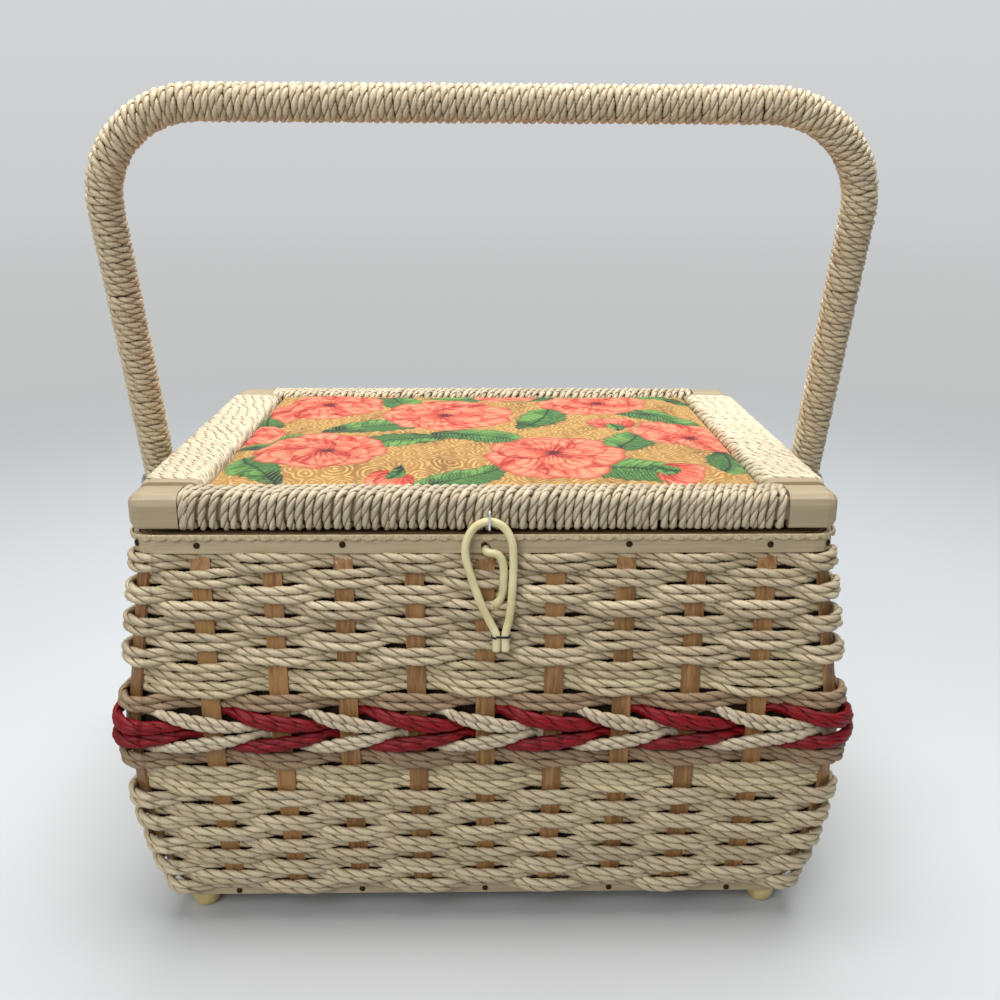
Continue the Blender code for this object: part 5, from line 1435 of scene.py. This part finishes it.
def make_feet(looks):
    wide = FOOT_PROFILE_RADIUS
    profile = [(wide - FOOT_TOP_ROUND, FOOT_HEIGHT), (wide, FOOT_HEIGHT - FOOT_TOP_ROUND),
               (wide, FOOT_DOME + FOOT_LIP), (wide - FOOT_NECK, FOOT_DOME + FOOT_LIP / 2)]
    for angle in np.radians(np.arange(0, 91, 7.5)):
        radius = FOOT_FLAT + (wide - FOOT_FLAT) * math.cos(angle)
        profile.append((radius, FOOT_DOME * (1 - math.sin(angle))))
    around = TURN * np.arange(FOOT_SIDES) / FOOT_SIDES
    for end, side_y in (("front", -1), ("back", 1)):
        for side, side_x in (("left", -1), ("right", 1)):
            shell = Shells()
            rings = [np.column_stack([side_x * FOOT_PLACE[0] + radius * np.cos(around),
                                      side_y * FOOT_PLACE[1] + radius * np.sin(around),
                                      np.full(FOOT_SIDES, height)]) for radius, height in profile]
            shell.loft(rings)
            shell.make(f"round_foot_{end}_{side}", looks["foot"], "basket", "foot_plastic",
                       f"foot_{end}_{side}")


# Looks: the function that makes each one, its name and its values
LOOKS = {
    "cream": (cord_material, "cream paper cord",
              ((250, 235, 198), (224, 204, 163), (118, 92, 58)), 0.36, 0.65),
    "wrap": (cord_material, "wound paper cord",
             ((250, 237, 206), (224, 207, 172), (122, 98, 66)), 0.36, 0.65),
    "handle": (cord_material, "handle paper cord",
               ((252, 238, 204), (228, 206, 165), (140, 108, 72)), 0.36, 0.65),
    "tan": (cord_material, "tan paper cord",
            ((194, 168, 134), (168, 140, 108), (104, 76, 52)), 0.46, 0.45),
    "light": (cord_material, "light paper cord",
              ((248, 234, 204), (222, 204, 170), (134, 110, 78)), 0.36, 0.65),
    "crimson": (cord_material, "crimson cord",
                ((164, 12, 26), (122, 6, 16), (44, 3, 7)), 0.4, 0.35),
    "stake": (wood_material, "stained stake wood",
              ((184, 142, 92), (160, 117, 71), (108, 72, 40)), 2, 0.5),
    "band": (wood_material, "painted band wood",
             ((204, 188, 154), (190, 173, 139), (154, 134, 100)), 0, 0.42, 0.3),
    "frame": (wood_material, "painted frame wood",
              ((184, 168, 138), (178, 161, 130), (148, 130, 100)), 0, 0.36, 0.25),
    "board": (wood_material, "raw board", ((160, 130, 95), (140, 110, 78), (95, 70, 45)), 0, 0.85),
    "lining": (card_and_cloth, "card and gold cloth"),
    "print": (print_material, "printed cotton"),
    "nail": (metal_material, "dark nail", (62, 44, 30), 0.35),
    "braid": (fabric_material, "woven trim", (226, 210, 174), (176, 156, 118), 0.5 * MM),
    "foot": (plastic_material, "foot plastic", (238, 220, 160), (214, 190, 120), 0.3, 0.15),
    "latch": (plastic_material, "latch plastic", (236, 228, 184), (216, 204, 150), 0.3, 0.25),
    "thread": (fabric_material, "dark thread", (52, 50, 44), (28, 26, 24), 0.3 * MM),
    "steel": (metal_material, "bright steel", (225, 225, 228), 0.25),
    "brass": (metal_material, "brass plate", (214, 178, 110), 0.32),
}
NODE_LOOKS = {
    "stake": ("stakes_", "corner_stake_", "handle_core"),
    "band": ("top_band", "bottom_band"),
    "frame": ("lid_rail_",),
    "board": ("base_board", "inner_rim", "lid_board"),
    "lining": ("lining", "lid_lining"),
    "print": ("lid_cover", "lid_pad"),
    "braid": ("rim_braid",),
    "foot": ("foot_",),
    "latch": ("keeper_loop", "latch_loop"),
    "thread": ("latch_tie",),
    "steel": ("hinge_pin_", "pivot_", "latch_staple"),
    "brass": ("hinge_body_leaf_", "hinge_lid_leaf_"),
}


def dress_nodes(nodes, looks):
    """Gives each carried CAD node its material."""
    for name, node in nodes.items():
        for look, starts in NODE_LOOKS.items():
            if name.startswith(starts):
                node.data.materials.clear()
                node.data.materials.append(looks[look])


EASED_NODES = {
    0.35 * MM: ("top_band", "bottom_band", "inner_rim"),
    0.2 * MM: ("hinge_body_leaf_", "hinge_lid_leaf_", "hinge_pin_", "pivot_", "stakes_",
               "corner_stake_"),
}
EASED_ANGLE = math.radians(50)


def ease_edges(nodes):
    """Small rounds on the wooden strips and the metal fittings."""
    for width, starts in EASED_NODES.items():
        for name, node in nodes.items():
            if name.startswith(starts):
                bevel = node.modifiers.new("eased", "BEVEL")
                bevel.width = width
                bevel.segments = 2
                bevel.limit_method = "ANGLE"
                bevel.angle_limit = EASED_ANGLE
                bevel.harden_normals = False


def make_camera():
    yaw, pitch, roll = np.radians((CAMERA_YAW, CAMERA_PITCH, CAMERA_ROLL)).tolist()
    level_share = math.cos(pitch)
    forward = Vector((math.sin(yaw) * level_share, math.cos(yaw) * level_share, -math.sin(pitch)))
    level = Vector((math.cos(yaw), -math.sin(yaw), 0))
    up = level.cross(forward)
    right = level * math.cos(roll) + up * math.sin(roll)
    top = up * math.cos(roll) - level * math.sin(roll)
    data = bpy.data.cameras.new("camera")
    data.sensor_width = SENSOR_WIDTH
    data.lens = FOCAL_PIXELS * SENSOR_WIDTH / PICTURE_SIZE
    data.clip_start = CAMERA_NEAR
    camera = placed("camera", data)
    rotation = Matrix((right, top, -forward)).transposed().to_4x4()
    camera.matrix_world = Matrix.Translation(CAMERA_PLACE) @ rotation
    bpy.context.scene.camera = camera


# Floor, background and light
BACKGROUND_LOW = rgb(194, 196, 196)
BACKGROUND = rgb(201, 203, 204)
BACKGROUND_HIGH = rgb(210, 212, 214)
BACKGROUND_HEIGHTS = (-0.05, 0.14)
FLOOR_SIZE = 6
FLOOR_NEAR = 0.35
FLOOR_FAR = 1.5
# Painted shade: between these distances from the middle the floor darkens towards its far colour, a
# painted falloff of the light round the basket.
FLOOR_FALLOFF_REACH = (0.16, 0.42)
FLOOR_LIGHT = rgb(208, 210, 210)
FLOOR_SHADE = rgb(202, 204, 204)
FLOOR_FALLOFF_SHADE = rgb(196, 199, 201)
FLOOR_BOUNCE = rgb(150, 150, 150)
SKY = rgb(236, 240, 246)
SKY_STRENGTH = 0.31
LAMPS = (("top", (0.05, 0.12, 1.6), 1.3, 33), ("front", (-0.7, -1.3, 1.1), 1.0, 12.2))
LAMP_AIM = (0, 0, 0.15)


def seen_straight(s):
    """1 for rays from the camera, off a mirror or through glass, and 0 for the rest."""
    path = s.tree.nodes.new("ShaderNodeLightPath")
    seen = s.math("MAXIMUM", path.outputs["Is Camera Ray"], path.outputs["Is Glossy Ray"])
    return s.math("MAXIMUM", seen, path.outputs["Is Transmission Ray"])


def make_floor():
    """A pale floor, darker away from the basket in a painted falloff of light, that fades into the
    background, and sends little light up.
    """
    size = FLOOR_SIZE
    corners = np.array([(-size, -size, 0), (size, -size, 0), (size, size, 0), (-size, size, 0)])
    data = new_mesh("floor", corners, [(0, 1, 2, 3)], {})
    s = Shader("floor")
    seen = seen_straight(s)
    cloud = s.noise(s.place(), 3.0)
    colour = s.mix(s.range(cloud, 0.3, 0.7), FLOOR_LIGHT, FLOOR_SHADE)
    away = s.vector("LENGTH", s.place(), output=1)
    # painted shade: the floor darkens away from the basket, standing in for the falloff of the
    # light
    colour = s.mix(s.range(away, *FLOOR_FALLOFF_REACH, smooth=True), colour, FLOOR_FALLOFF_SHADE)
    s.set(s.surface, {"Base Color": s.mix(seen, FLOOR_BOUNCE, colour), "Roughness": 0.7,
                      "Specular IOR Level": 0.1})
    far = s.mix(s.range(away, FLOOR_FAR, FLOOR_SIZE), BACKGROUND_LOW, BACKGROUND)
    glow = s.add("Emission", {"Color": far, "Strength": 1.0})
    fade = s.range(away, FLOOR_NEAR, FLOOR_FAR, smooth=True)
    both = s.add("MixShader", {0: s.times(fade, seen), 1: s.surface.outputs["BSDF"], 2: glow})
    s.tree.links.new(both, s.tree.nodes["Material Output"].inputs["Surface"])
    data.materials.append(s.material)
    floor = placed("floor", data)


def make_lights():
    """A large soft lamp overhead, a weaker one in front, and an even sky behind the background."""
    s = Shader("world", "worlds", "Background")
    bpy.context.scene.world = s.material
    s.set(s.surface, {"Color": SKY, "Strength": SKY_STRENGTH})
    height = s.split(s.add("TexCoord", output="Generated"))[2]
    shade = s.mix(s.range(height, *BACKGROUND_HEIGHTS), BACKGROUND, BACKGROUND_HIGH)
    shown = s.add("Background", {"Color": shade})
    seen = s.add("LightPath", output="Is Camera Ray")
    both = s.add("MixShader", {0: seen, 1: s.surface.outputs[0], 2: shown})
    s.tree.links.new(both, s.tree.nodes["World Output"].inputs["Surface"])
    for name, place, size, power in LAMPS:
        data = bpy.data.lights.new(name, "AREA")
        data.size = size
        data.energy = power
        lamp = placed(name, data)
        lamp.location = place
        lamp.rotation_mode = "QUATERNION"
        aim = Vector(LAMP_AIM) - Vector(place)
        lamp.rotation_quaternion = aim.to_track_quat("-Z", "Y")


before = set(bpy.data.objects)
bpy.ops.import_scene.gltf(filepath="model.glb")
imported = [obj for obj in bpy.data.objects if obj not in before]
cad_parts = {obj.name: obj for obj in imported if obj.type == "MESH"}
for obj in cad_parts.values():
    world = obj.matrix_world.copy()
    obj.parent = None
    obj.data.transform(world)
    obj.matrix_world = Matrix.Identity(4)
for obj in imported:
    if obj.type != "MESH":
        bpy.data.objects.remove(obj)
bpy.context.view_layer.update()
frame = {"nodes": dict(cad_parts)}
bpy.context.scene.view_settings.view_transform = "Standard"
make_camera()
make_floor()
make_lights()
looks = {look: make(*values) for look, (make, *values) in LOOKS.items()}
dress_nodes(frame["nodes"], looks)
make_weave(looks)
make_lid_windings(looks)
make_handle_winding(looks)
make_lining(looks)
make_cover(looks)
make_backing(looks)
make_trim(looks)
make_nails(looks)
make_latch(looks)
make_feet(looks)
ease_edges(frame["nodes"])
